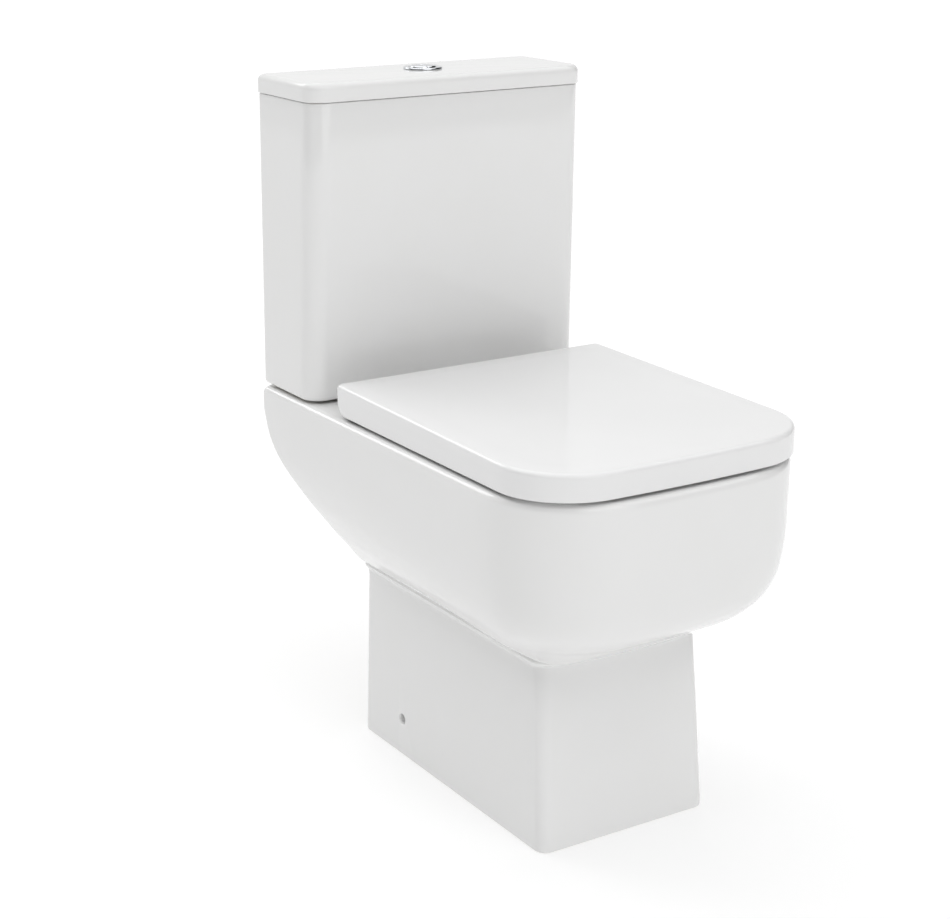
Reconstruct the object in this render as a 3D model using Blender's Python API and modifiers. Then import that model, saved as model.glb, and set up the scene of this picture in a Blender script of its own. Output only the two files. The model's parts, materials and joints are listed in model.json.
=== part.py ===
"""Close coupled toilet: pan, cistern, seat and lid, flush valve and fill valve.

Metres, +Z up. The front faces -Y and +X is to the right seen from the front. The origin
is on the floor, under the middle of the whole object. Distances marked "from the wall"
run forwards from the flat back of the cistern.
"""
import math

import bmesh
import bpy
from mathutils import Matrix, Vector

# Whole object
PROJECTION = 0.600            # wall to the front of the pan
GAP = 0.0003                  # between two pieces that touch
SIDES = (("left", -1), ("right", 1))

# Pan
RIM_Z = 0.431                 # top of the rim and of the ledge under the cistern
PAN_HALF = 0.187
PAN_WALL = 0.011
SLAB = 0.016                  # thickness of the ledge and rim
RIM_ROUND = 0.009
PEDESTAL_HALF = (0.1135, 0.1068)      # at the floor, and under the bowl
PEDESTAL_FRONT = (0.4915, 0.4760)     # from the wall
PEDESTAL_BACK = 0.100
PEDESTAL_CORNER = 0.015
PEDESTAL_EDGE = 0.003                 # rounding of the lower edge
PEDESTAL_TOP = 0.218
BOWL_WALL = 0.010
OUTLET_Z = 0.185
OUTLET_END = 0.045            # face of the spigot, from the wall
SPIGOT = (0.051, 0.041)       # outer and inner radius
TRAP_RADIUS = 0.034
SIDE_HOLE = (0.1895, 0.046)           # from the wall, and height

# Cistern
TANK_Z = (0.434, 0.7795)
TANK_HALF = (0.1880, 0.1836)          # at the bottom and at the top
TANK_DEPTH = (0.1180, 0.1325)
TANK_CORNER = 0.025
TANK_EDGE = 0.006                     # rounding of the lower edge
TANK_WALL = 0.009
TANK_FLOOR = 0.012
LID_HALF = 0.1850
LID_DEPTH = 0.1340
LID_Z = (0.7802, 0.8020)
LID_ROUND = 0.009
LID_PLATE = 0.0085
VALVE_D = 0.064               # valves and bolts, from the wall
INLET_X = 0.140
COUPLING_X = 0.080

# Seat
AXIS_D = 0.1825               # hinge line, from the wall
AXIS_Z = 0.4515
HINGE_X = 0.078
SEAT_HALF = 0.1820
SEAT_BACK = 0.165
SEAT_FRONT = 0.592
SEAT_Z = 0.4345               # lower edge of the lid's skirt
SEAT_TOP = (0.4700, 0.4640)   # top of the lid at the back and at the front
SEAT_CORNER = 0.082
SEAT_BOW = 0.008
SKIRT = 0.0035
RING_Z = (0.4355, 0.4560)
RING_INSET = 0.0055           # ring's outline inside the lid's
PIN_RADIUS = 0.003
EYE_RADIUS = 0.0085           # round ends of the hinge lugs and posts
FIXING_D = 0.1905             # seat fixings, from the wall

MATERIALS = {
    "vitreous_china": ((0.88, 0.88, 0.88), 0.08, 0.0),
    "seat_plastic": ((0.92, 0.92, 0.92), 0.16, 0.0),
    "chrome": ((0.80, 0.80, 0.82), 0.06, 1.0),
    "brass": ((0.72, 0.56, 0.28), 0.30, 1.0),
    "steel": ((0.62, 0.62, 0.63), 0.32, 1.0),
    "rubber": ((0.05, 0.05, 0.05), 0.75, 0.0),
    "foam": ((0.12, 0.12, 0.12), 0.95, 0.0),
    "clear_bumper": ((0.80, 0.80, 0.78), 0.40, 0.0),
    "valve_plastic": ((0.86, 0.86, 0.84), 0.45, 0.0),
    "valve_red": ((0.60, 0.08, 0.06), 0.45, 0.0),
    "valve_blue": ((0.10, 0.22, 0.50), 0.45, 0.0),
}


def clear_scene():
    """Remove every object that the file opened with."""
    for item in list(bpy.data.objects):
        bpy.data.objects.remove(item, do_unlink=True)


def new_collection(name):
    group = bpy.data.collections.new(name)
    bpy.context.scene.collection.children.link(group)
    return group


def material(name, slot):
    """A Principled material for one sub-part."""
    colour, roughness, metallic = MATERIALS[slot]
    made = bpy.data.materials.new(name)
    made.use_nodes = True
    shader = made.node_tree.nodes["Principled BSDF"]
    shader.inputs["Base Color"].default_value = (*colour, 1.0)
    shader.inputs["Roughness"].default_value = roughness
    shader.inputs["Metallic"].default_value = metallic
    return made


def y_at(distance):
    """Y of a point that far from the wall."""
    return PROJECTION / 2 - distance


def place(name, mesh, slot, origin=(0, 0, 0)):
    """Link a mesh as a sub-part, or as a cutter where no slot is named."""
    made = bpy.data.objects.new(name, mesh)
    made.location = origin
    if slot is None:
        CUTTERS.objects.link(made)
        made.hide_render = True
        made.display_type = "WIRE"
        return made
    PARTS.objects.link(made)
    mesh.materials.append(material(name, slot))
    mesh.shade_smooth()
    mesh.set_sharp_from_angle(angle=math.radians(35))
    return made


def cut(part, cutter, operation="DIFFERENCE"):
    """Cut or join with an exact Boolean."""
    step = part.modifiers.new(cutter.name, "BOOLEAN")
    step.operation = operation
    step.object = cutter
    return part


def join(part, cutter):
    return cut(part, cutter, "UNION")


def outline(half, back, front, r_front, r_back, half_back=None, bow=0.0, steps=6):
    """A rounded rectangle as (x, distance from the wall), anticlockwise from above.

    half_back is the half width at the back where it differs, and bow is how far the
    front edge falls away at the sides of a gently curved front.
    """
    corners = [(half - r_front, front - r_front, r_front, -90),
               (half - r_back, back + r_back, r_back, 0),
               (r_back - half, back + r_back, r_back, 90),
               (r_front - half, front - r_front, r_front, 180)]
    points = []
    for x, distance, radius, start in corners:
        for step in range(steps + 1):
            angle = math.radians(start + 90 * step / steps)
            points.append((x + radius * math.cos(angle), distance - radius * math.sin(angle)))
    for share in (-0.5, 0.0, 0.5):
        points.append((share * 2 * (half - r_front), front))
    shaped = []
    for x, distance in points:
        along = (distance - back) / (front - back)
        narrow = 1 + ((half_back or half) / half - 1) * (1 - along)
        drop = bow * (x / half) ** 2 * along ** 4
        shaped.append((x * narrow, distance - drop))
    return shaped


def loft(name, rings, slot, origin=(0, 0, 0)):
    """A closed solid through rings of (x, y, z) points, from the lowest ring up."""
    mesh = bpy.data.meshes.new(name)
    shape = bmesh.new()
    rows = [[shape.verts.new(Vector(p) - Vector(origin)) for p in ring] for ring in rings]
    count = len(rows[0])
    for low, high in zip(rows, rows[1:]):
        for i in range(count):
            j = (i + 1) % count
            shape.faces.new((low[i], low[j], high[j], high[i]))
    shape.faces.new(rows[0][::-1])
    shape.faces.new(rows[-1])
    shape.to_mesh(mesh)
    shape.free()
    return place(name, mesh, slot, origin)


def ring_at(z, points):
    """An outline's points at one height; z may be a function of the distance."""
    height = z if callable(z) else (lambda distance: z)
    return [(x, y_at(distance), height(distance)) for x, distance in points]


def box(name, x, d, z, slot=None):
    """A box between two x values, two distances from the wall and two heights."""
    centre = Vector(((x[0] + x[1]) / 2, y_at((d[0] + d[1]) / 2), (z[0] + z[1]) / 2))
    size = (abs(x[1] - x[0]), abs(d[1] - d[0]), abs(z[1] - z[0]))
    mesh = bpy.data.meshes.new(name)
    shape = bmesh.new()
    bmesh.ops.create_cube(shape, size=1.0, matrix=Matrix.Diagonal((*size, 1.0)))
    shape.to_mesh(mesh)
    shape.free()
    return place(name, mesh, slot, centre)


def turned(name, profile, x, d, slot=None, steps=20, along="Z"):
    """Turn (radius, height) points, from the top down the outside, about a line.

    A profile that starts on the line is a solid of revolution, and any other is closed
    into a ring. The line is upright through (x, d), or runs along X through (d, height).
    """
    mesh = bpy.data.meshes.new(name)
    points = [(radius, 0, height) for radius, height in profile]
    edges = [(i, i + 1) for i in range(len(points) - 1)]
    if profile[0][0] > 0:
        edges.append((len(points) - 1, 0))
    mesh.from_pydata(points, edges, [])
    if along == "Z":
        origin, turn = (x, y_at(d), 0), (0, 0, 0)
    else:
        origin, turn = (0, y_at(d), x), (0, math.pi / 2, 0)
    made = place(name, mesh, slot, origin)
    made.rotation_euler = turn
    screw = made.modifiers.new("turn", "SCREW")
    screw.steps = screw.render_steps = steps
    screw.use_merge_vertices = True
    screw.merge_threshold = 0.00001
    screw.use_smooth_shade = True
    return made


def rod(name, radius, ends, x, d, slot=None, steps=20, along="Z"):
    """A plain round bar between two heights, or two x values where it runs along X."""
    low, high = ends
    profile = [(0, high), (radius, high), (radius, low), (0, low)]
    return turned(name, profile, x, d, slot, steps, along)


def tube(name, radii, ends, x, d, slot=None, steps=20):
    """A round sleeve with an outer and an inner radius."""
    low, high = ends
    outer, inner = radii
    return turned(name, [(outer, high), (outer, low), (inner, low), (inner, high)],
                  x, d, slot, steps)


def arc(radius, start, end, steps=8):
    """Points of an arc about the hinge line, as (distance towards the wall, height)."""
    angles = [math.radians(start + (end - start) * step / steps) for step in range(steps + 1)]
    return [(radius * math.cos(angle), radius * math.sin(angle)) for angle in angles]


def hinge_piece(name, x, profile, slot=None):
    """A plate between two x values, its outline drawn about the hinge line.

    The outline runs anticlockwise as (distance towards the wall, height).
    """
    y, z = y_at(AXIS_D), AXIS_Z
    low, high = sorted(x)
    rings = [[(end, y + across, z + up) for across, up in profile] for end in (low, high)]
    return loft(name, rings, slot)


def hexagon(name, radius, ends, x, d, slot):
    """A six-sided nut blank, radius to its corners."""
    low, high = ends
    mesh = bpy.data.meshes.new(name)
    shape = bmesh.new()
    bmesh.ops.create_cone(shape, cap_ends=True, segments=6, radius1=radius, radius2=radius,
                          depth=high - low)
    shape.to_mesh(mesh)
    shape.free()
    return place(name, mesh, slot, (x, y_at(d), (low + high) / 2))


def pipe(name, path, radii):
    """A closed round cutter along (distance from the wall, height) points at x = 0."""
    curve = bpy.data.curves.new(name, "CURVE")
    curve.dimensions = "3D"
    curve.bevel_depth = 1.0
    curve.bevel_resolution = 6
    curve.use_fill_caps = True
    spline = curve.splines.new("POLY")
    spline.points.add(len(path) - 1)
    for point, (distance, height), radius in zip(spline.points, path, radii):
        point.co = (0, y_at(distance), height, 1)
        point.radius = radius
    drawn = bpy.data.objects.new(name + "_curve", curve)
    CUTTERS.objects.link(drawn)
    bpy.context.view_layer.update()
    ready = drawn.evaluated_get(bpy.context.evaluated_depsgraph_get())
    mesh = bpy.data.meshes.new_from_object(ready)
    bpy.data.objects.remove(drawn)
    shape = bmesh.new()
    shape.from_mesh(mesh)
    bmesh.ops.remove_doubles(shape, verts=shape.verts, dist=0.00001)
    bmesh.ops.recalc_face_normals(shape, faces=shape.faces)
    shape.to_mesh(mesh)
    shape.free()
    mesh.materials.clear()
    return place(name, mesh, None)


# The pan -------------------------------------------------------------------------------

# Height, half width in front and at the back, back and front from the wall, and the
# radii of the front and back corners, from under the bowl up to the rim.
PAN_LEVELS = (
    (0.2200, 0.1080, 0.1110, 0.1000, 0.4960, 0.028, 0.010),
    (0.2225, 0.1098, 0.1150, 0.0990, 0.5040, 0.034, 0.012),
    (0.2297, 0.1215, 0.1220, 0.0950, 0.5165, 0.048, 0.016),
    (0.2480, 0.1515, 0.1345, 0.0860, 0.5460, 0.088, 0.020),
    (0.2620, 0.1630, 0.1450, 0.0790, 0.5670, 0.097, 0.022),
    (0.2800, 0.1735, 0.1560, 0.0690, 0.5830, 0.101, 0.020),
    (0.3045, 0.1810, 0.1700, 0.0550, 0.5925, 0.103, 0.014),
    (0.3400, 0.1848, 0.1840, 0.0290, 0.5970, 0.105, 0.006),
    (0.3700, 0.1860, 0.1900, 0.0110, 0.5985, 0.108, 0.005),
    (0.4030, 0.1868, 0.1915, 0.0000, 0.6000, 0.110, 0.005),
)
PAN_BOW = 0.010
PAN_HALF_BACK = PAN_LEVELS[-1][2]

# Height, half width, back and front from the wall, and corner radii of the bowl inside.
BOWL_LEVELS = (
    (0.047, 0.022, 0.288, 0.345, 0.020, 0.020),
    (0.056, 0.034, 0.280, 0.357, 0.033, 0.033),
    (0.085, 0.041, 0.277, 0.370, 0.040, 0.040),
    (0.130, 0.047, 0.276, 0.390, 0.046, 0.046),
    (0.180, 0.059, 0.273, 0.422, 0.058, 0.056),
    (0.230, 0.077, 0.266, 0.464, 0.074, 0.070),
    (0.280, 0.099, 0.254, 0.508, 0.088, 0.080),
    (0.325, 0.119, 0.241, 0.543, 0.096, 0.084),
    (0.360, 0.131, 0.231, 0.560, 0.100, 0.084),
    (0.385, 0.136, 0.226, 0.566, 0.102, 0.084),
    (0.440, 0.136, 0.226, 0.566, 0.102, 0.084),
)


def pan_outside():
    """Pedestal and bowl skin in one run of rings, with a rounded rim edge."""
    floor_half, top_half = PEDESTAL_HALF
    floor_front, top_front = PEDESTAL_FRONT
    inset = PEDESTAL_EDGE
    rings = [ring_at(0.0, outline(floor_half - inset, PEDESTAL_BACK, floor_front - inset,
                                  PEDESTAL_CORNER - inset, 0.006))]
    for share in (0.015, 0.5, 1.0):
        half = floor_half + (top_half - floor_half) * share
        front = floor_front + (top_front - floor_front) * share
        rings.append(ring_at(PEDESTAL_TOP * share,
                             outline(half, PEDESTAL_BACK, front, PEDESTAL_CORNER, 0.008)))
    for z, half, half_back, back, front, r_front, r_back in PAN_LEVELS:
        rings.append(ring_at(z, outline(half, back, front, r_front, r_back, half_back, PAN_BOW)))
    for step in range(4):
        angle = math.radians(30 * step)
        inset = RIM_ROUND * (1 - math.cos(angle))
        z = RIM_Z - RIM_ROUND * (1 - math.sin(angle))
        rings.append(ring_at(z, outline(PAN_HALF - inset, inset * 0.4, PROJECTION - inset,
                                        0.110 - inset, 0.005, PAN_HALF_BACK - inset, PAN_BOW)))
    return loft("pan", rings, "vitreous_china")


def service_space():
    """The hollow under the bowl, open to the floor and to the wall."""
    floor_half, top_half = PEDESTAL_HALF
    floor_front, top_front = PEDESTAL_FRONT
    wall = PAN_WALL
    rings = [ring_at(-0.01, outline(floor_half - wall, -0.02, floor_front - wall, 0.006, 0.002)),
             ring_at(PEDESTAL_TOP - 0.004,
                     outline(top_half - wall, -0.02, top_front - wall, 0.006, 0.002))]
    for z, half, half_back, back, front, r_front, r_back in PAN_LEVELS[2:]:
        ends = outline(half - wall, -0.02, front - wall, r_front - wall, 0.002,
                       half_back - wall, PAN_BOW)
        rings.append(ring_at(z + 0.004, ends))
    top = outline(PAN_HALF - wall, -0.02, PROJECTION - wall, 0.099, 0.002,
                  PAN_HALF_BACK - wall, PAN_BOW)
    rings.append(ring_at(RIM_Z - SLAB, top))
    return loft("service_space", rings, None)


def bowl(name, wall):
    """The inside of the bowl, or its outside where a wall is added."""
    rings = []
    for z, half, back, front, r_front, r_back in BOWL_LEVELS:
        low = wall if z < 0.05 else 0.0
        rings.append(ring_at(z - low, outline(half + wall, back - wall, front + wall,
                                              r_front + wall, r_back + wall)))
    return loft(name, rings, None)


def trap_path():
    """From the sump, up over the weir, and out level to the spigot."""
    path = [(0.325, 0.083), (0.300, 0.083)]
    for step in range(7):
        angle = math.radians(15 * step)
        path.append((0.275 - 0.045 * math.sin(angle), 0.128 - 0.045 * math.cos(angle)))
    for step in range(7):
        angle = math.radians(15 * step)
        path.append((0.180 + 0.050 * math.cos(angle), 0.150 + 0.050 * math.sin(angle)))
    return path + [(0.155, 0.197), (0.130, OUTLET_Z + 0.004), (0.112, OUTLET_Z)]


def waterway():
    """Outer and inner cutters for the trap and its spigot."""
    path = trap_path()
    radii = [TRAP_RADIUS] * (len(path) - 2) + [0.038, SPIGOT[1]]
    walls = [TRAP_RADIUS + BOWL_WALL] * (len(path) - 2) + [0.048, SPIGOT[0]]
    outer = pipe("trap_outside", path + [(OUTLET_END, OUTLET_Z)], walls + [SPIGOT[0]])
    inner = pipe("trap_inside", path + [(OUTLET_END - 0.02, OUTLET_Z)], radii + [SPIGOT[1]])
    return outer, inner


def make_pan():
    """Hollow vitreous china, with a bowl, a trap, a flush duct and its fixing holes."""
    pan = pan_outside()
    space = service_space()
    bowl_inside = bowl("bowl_inside", 0.0)
    trap_outside, trap_inside = waterway()
    cut(space, bowl("bowl_outside", BOWL_WALL))
    cut(space, trap_outside)
    cut(space, box("duct_outside", (-0.056, 0.056), (0.012, 0.25), (0.338, 0.43)))
    cut(pan, space)
    join(pan, trap_outside)
    cut(pan, bowl_inside)
    cut(pan, trap_inside)
    cut(pan, turned("gasket_recess", [(0, 0.44), (0.047, 0.44), (0.047, 0.404),
                                      (0.026, 0.404), (0.026, 0.36), (0, 0.36)],
                    0, VALVE_D, steps=28))
    cut(pan, box("flush_duct", (-0.045, 0.045), (0.030, 0.245), (0.350, 0.384)))
    cut(pan, rod("inlet_hole", 0.022, (0.40, 0.44), INLET_X, VALVE_D))
    for side, sign in SIDES:
        cut(pan, rod("coupling_hole_" + side, 0.0058, (0.40, 0.44), sign * COUPLING_X,
                     VALVE_D, steps=16))
        cut(pan, rod("seat_hole_" + side, 0.0070, (0.40, 0.44), sign * HINGE_X, FIXING_D,
                     steps=16))
        cut(pan, rod("side_hole_" + side, 0.0072, sorted((sign * 0.09, sign * 0.13)),
                     SIDE_HOLE[1], SIDE_HOLE[0], steps=16, along="X"))


# Floor fixings ---------------------------------------------------------------------------


def make_floor_fixings():
    """An angle bracket inside each side wall, with its floor screw."""
    distance, height = SIDE_HOLE
    for side, sign in SIDES:
        wall = sign * 0.0998
        foot = sign * 0.058
        bracket = box("floor_bracket_" + side, (foot, wall), (0.165, 0.214), (0.0, 0.006),
                      "valve_plastic")
        upright = box("bracket_upright_" + side, (sign * 0.086, wall), (0.172, 0.207),
                      (0.003, 0.060))
        join(bracket, upright)
        cut(bracket, rod("bracket_hole_" + side, 0.0033, (-0.01, 0.01), sign * 0.070,
                         distance, steps=12))
        cut(bracket, rod("bracket_bore_" + side, 0.0029, sorted((sign * 0.07, sign * 0.12)),
                         height, distance, steps=12, along="X"))
        head = [(0, 0.0098), (0.0052, 0.0098), (0.0060, 0.0063), (0.0030, 0.0063),
                (0.0030, 0.0003), (0, 0.0003)]
        turned("floor_screw_" + side, head, sign * 0.070, distance, "steel", 12)


# The cistern -----------------------------------------------------------------------------


def rounded_box(half, depth, inset=0.0):
    """The cistern's outline: flat against the wall, with round front corners."""
    return outline(half - inset, inset, depth - inset, TANK_CORNER - inset,
                   max(0.005 - inset, 0.003))


def tank_ring(z, inset=0.0):
    """A ring of the cistern, which leans forwards and narrows as it rises."""
    share = (z - TANK_Z[0]) / (TANK_Z[1] - TANK_Z[0])
    half = TANK_HALF[0] + (TANK_HALF[1] - TANK_HALF[0]) * share
    depth = TANK_DEPTH[0] + (TANK_DEPTH[1] - TANK_DEPTH[0]) * share
    return ring_at(z, rounded_box(half, depth, inset))


def make_tank():
    """An open ceramic box with a rounded lower edge, and holes for valves and bolts."""
    low, high = TANK_Z
    rings = []
    for step in range(3):
        angle = math.radians(45 * step)
        rings.append(tank_ring(low + TANK_EDGE * (1 - math.cos(angle)),
                               TANK_EDGE * (1 - math.sin(angle))))
    tank = loft("cistern_tank", rings + [tank_ring(high)], "vitreous_china")
    cut(tank, loft("tank_inside", [tank_ring(low + TANK_FLOOR, TANK_WALL),
                                   tank_ring(high + 0.02, TANK_WALL)], None))
    cut(tank, rod("tank_outlet", 0.0318, (0.42, 0.46), 0, VALVE_D, steps=28))
    cut(tank, rod("tank_inlet", 0.0115, (0.42, 0.46), INLET_X, VALVE_D, steps=16))
    for side, sign in SIDES:
        cut(tank, rod("tank_bolt_" + side, 0.0052, (0.42, 0.46), sign * COUPLING_X, VALVE_D,
                      steps=16))


def make_cistern_lid():
    """A hollow ceramic lid with a rounded edge, a locating rib and the button hole."""
    low, high = LID_Z
    origin = (0, y_at(VALVE_D), low)
    rings = [ring_at(low, rounded_box(LID_HALF, LID_DEPTH))]
    for step in range(5):
        angle = math.radians(22.5 * step)
        inset = LID_ROUND * (1 - math.cos(angle))
        rings.append(ring_at(high - LID_ROUND * (1 - math.sin(angle)),
                             rounded_box(LID_HALF, LID_DEPTH, inset)))
    lid = loft("cistern_lid", rings, "vitreous_china", origin)
    rib = rounded_box(TANK_HALF[1], TANK_DEPTH[1], TANK_WALL + 0.002)
    pocket = rounded_box(TANK_HALF[1], TANK_DEPTH[1], TANK_WALL + 0.009)
    join(lid, loft("lid_rib", [ring_at(low - 0.007, rib), ring_at(low + 0.004, rib)], None))
    cut(lid, loft("lid_pocket", [ring_at(low - 0.02, pocket),
                                 ring_at(high - LID_PLATE, pocket)], None))
    cut(lid, rod("button_hole", 0.0190, (0.75, 0.82), 0, VALVE_D, steps=28))


# Flush buttons ---------------------------------------------------------------------------

BEZEL = (0.0230, 0.0185, 0.0164)      # flange, sleeve and bore radius
BUTTON_RADIUS = 0.0160
BUTTON_Z = (0.7910, 0.8070)
BUTTON_SPLIT = -0.003                 # the full flush half, on the right, is larger


def make_buttons():
    """Chrome bezel with its clamp nut, and two push buttons with their rods."""
    flange, sleeve, bore = BEZEL
    top = LID_Z[1]
    turned("button_bezel", [(bore, top + 0.0025), (flange - 0.002, top + 0.0025),
                            (flange, top + 0.0008), (flange, top + GAP),
                            (sleeve, top + GAP), (sleeve, top - 0.030),
                            (bore, top - 0.030)], 0, VALVE_D, "chrome", 28)
    under = top - LID_PLATE
    tube("button_clamp_nut", (0.0260, 0.0189), (under - 0.0085, under - GAP), 0, VALVE_D,
         "valve_plastic", 20)
    low, high = BUTTON_Z
    halves = (("full_flush_button", (BUTTON_SPLIT + GAP, 0.03), 0.009),
              ("half_flush_button", (-0.03, BUTTON_SPLIT - GAP), -0.0085))
    for name, span, rod_x in halves:
        dome = [(0, high), (0.008, high - 0.0004), (0.0135, high - 0.0014),
                (BUTTON_RADIUS, high - 0.0032), (BUTTON_RADIUS, low), (0, low)]
        button = turned(name, dome, 0, VALVE_D, "chrome", 28)
        cut(button, box(name + "_half", span, (0.03, 0.10), (0.77, 0.82)), "INTERSECT")
        rod(name.replace("button", "rod"), 0.0032, (0.7455, low - GAP), rod_x, VALVE_D,
            "valve_plastic", 12)


# Flush valve -----------------------------------------------------------------------------

CAGE_TOP = 0.600
BRIDGE_Z = (0.7310, 0.7375)


def make_flush_valve():
    """Threaded base, cage with windows, seals, back nut and the lifting overflow tube."""
    floor = TANK_Z[0] + TANK_FLOOR
    turned("flush_valve_base",
           [(0.0265, floor + 0.0095), (0.0290, floor + 0.0095), (0.0290, floor + 0.0075),
            (0.0435, floor + 0.0075), (0.0435, floor + 0.0035), (0.0305, floor + 0.0035),
            (0.0305, 0.4050), (0.0265, 0.4050)], 0, VALVE_D, "valve_plastic", 24)
    tube("flush_valve_washer", (0.0425, 0.0310), (floor + GAP, floor + 0.0032), 0, VALVE_D,
         "rubber", 24)
    nut = hexagon("flush_valve_backnut", 0.0445, (0.4240, TANK_Z[0] - GAP), 0, VALVE_D,
                  "valve_plastic")
    cut(nut, rod("backnut_bore", 0.0310, (0.41, 0.45), 0, VALVE_D, steps=24))
    turned("close_coupling_gasket",
           [(0.0400, 0.4237), (0.0455, 0.4180), (0.0455, 0.4043), (0.0325, 0.4043),
            (0.0325, 0.4237)], 0, VALVE_D, "foam", 24)
    make_cage(floor + 0.0078)
    foot = floor + 0.0098
    tube("overflow_tube", (0.0180, 0.0150), (foot + 0.0083, 0.6950), 0, VALVE_D, "valve_blue", 20)
    turned("flush_valve_seal", [(0.0140, foot + 0.0080), (0.0210, foot + 0.0080),
                                (0.0325, foot + 0.0035), (0.0325, foot), (0.0140, foot)],
           0, VALVE_D, "rubber", 20)


def make_cage(foot):
    """The cage round the valve, its posts, and the bridge under the push rods."""
    cage = turned("flush_valve_cage",
                  [(0.0190, CAGE_TOP), (0.0420, CAGE_TOP), (0.0420, foot), (0.0385, foot),
                   (0.0385, CAGE_TOP - 0.004), (0.0190, CAGE_TOP - 0.004)],
                  0, VALVE_D, "valve_plastic", 24)
    for axis in ("x", "y"):
        wide, deep = (0.06, 0.014) if axis == "x" else (0.014, 0.06)
        window = box("cage_window_" + axis, (-wide, wide), (VALVE_D - deep, VALVE_D + deep),
                     (foot + 0.012, foot + 0.080))
        cut(cage, window)
    for side, sign in SIDES:
        post = box("cage_post_" + side, (sign * 0.034, sign * 0.041),
                   (VALVE_D - 0.007, VALVE_D + 0.007), (CAGE_TOP - 0.002, BRIDGE_Z[0] + 0.001))
        join(cage, post)
    join(cage, box("cage_bridge", (-0.041, 0.041), (VALVE_D - 0.009, VALVE_D + 0.009), BRIDGE_Z))


# Fill valve ------------------------------------------------------------------------------

FLOAT_PIVOT = (0.128, 0.716)          # x and z of the arm's pivot


def make_fill_valve():
    """Bottom entry tail and riser, head, and the float on its swinging arm."""
    floor = TANK_Z[0] + TANK_FLOOR
    turned("fill_valve_stem",
           [(0.0065, 0.6995), (0.0090, 0.6995), (0.0090, floor + 0.0075),
            (0.0180, floor + 0.0075), (0.0180, floor + 0.0032), (0.0105, floor + 0.0032),
            (0.0105, 0.3850), (0.0065, 0.3850)], INLET_X, VALVE_D, "valve_plastic", 16)
    tube("fill_valve_washer", (0.0170, 0.0109), (floor + GAP, floor + 0.0029), INLET_X, VALVE_D,
         "rubber", 16)
    nut = hexagon("fill_valve_backnut", 0.0175, (0.4240, TANK_Z[0] - GAP), INLET_X, VALVE_D,
                  "valve_plastic")
    cut(nut, rod("fill_nut_bore", 0.0109, (0.41, 0.45), INLET_X, VALVE_D, steps=16))
    head = turned("fill_valve_head",
                  [(0, 0.7350), (0.0120, 0.7350), (0.0150, 0.7300), (0.0150, 0.6998),
                   (0, 0.6998)], INLET_X + 0.008, VALVE_D, "valve_plastic", 16)
    x, z = FLOAT_PIVOT
    for name, sign in (("front", 1), ("back", -1)):
        ear = box("head_ear_" + name, (x - 0.005, INLET_X + 0.004),
                  (VALVE_D + sign * 0.0053, VALVE_D + sign * 0.0083), (z - 0.006, z + 0.006))
        join(head, ear)
    make_float(x, z)


def make_float(x, z):
    """Arm and float, drawn hanging at the low stop, with their origin on the pivot."""
    origin = Vector((x, y_at(VALVE_D), z))
    half = 0.0049
    sweep = [(x + 0.0028, z + 0.0035), (x + 0.0028, z - 0.0035), (0.104, z - 0.011),
             (0.080, z - 0.019), (0.080, z - 0.012), (0.104, z - 0.003)]
    rings = [[(px, y_at(VALVE_D) + sign * half, pz) for px, pz in sweep] for sign in (-1, 1)]
    loft("float_arm", rings, "valve_red", origin)
    floats = []
    for height, inset in ((0.648, 0.004), (0.652, 0.0), (0.688, 0.0), (0.692, 0.004)):
        floats.append(ring_at(height, outline(0.0175 - inset, 0.030 + inset, 0.098 - inset,
                                              0.008 - inset, 0.008 - inset, steps=3)))
    centred = [[(px + 0.090, py, pz) for px, py, pz in ring] for ring in floats]
    loft("float", centred, "valve_plastic", origin)


# Bolts between cistern and pan -----------------------------------------------------------


def wing_nut(name, x, d, top, bore, slot):
    """A hub with two wings, its top face at a height."""
    nut = rod(name, 0.0085, (top - 0.0095, top), x, d, slot, 16)
    join(nut, box(name + "_wings", (x - 0.0165, x + 0.0165), (d - 0.0016, d + 0.0016),
                  (top - 0.0115, top - 0.0020)))
    cut(nut, rod(name + "_bore", bore, (top - 0.02, top + 0.01), x, d, steps=12))


def make_coupling_bolts():
    """Two bolts that pull the cistern down on the gasket, with their washers and nuts."""
    floor = TANK_Z[0] + TANK_FLOOR
    under = RIM_Z - SLAB
    for side, sign in SIDES:
        x = sign * COUPLING_X
        turned("coupling_bolt_" + side,
               [(0, floor + 0.0095), (0.0080, floor + 0.0085), (0.0095, floor + 0.0055),
                (0.0040, floor + 0.0055), (0.0040, 0.3920), (0, 0.3920)],
               x, VALVE_D, "brass", 12)
        turned("coupling_seal_" + side,
               [(0.0043, floor + 0.0052), (0.0120, floor + 0.0052), (0.0130, floor + GAP),
                (0.0043, floor + GAP)], x, VALVE_D, "rubber", 16)
        tube("coupling_washer_" + side, (0.0135, 0.0043), (under - 0.0023, under - GAP),
             x, VALVE_D, "steel", 16)
        wing_nut("coupling_wing_nut_" + side, x, VALVE_D, under - 0.0026, 0.0043, "brass")


# Seat, lid and hinges --------------------------------------------------------------------


def lid_top(distance):
    """Height of the lid's top face, which falls gently to the front."""
    share = (distance - SEAT_BACK) / (SEAT_FRONT - SEAT_BACK)
    return SEAT_TOP[0] + (SEAT_TOP[1] - SEAT_TOP[0]) * share


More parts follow.
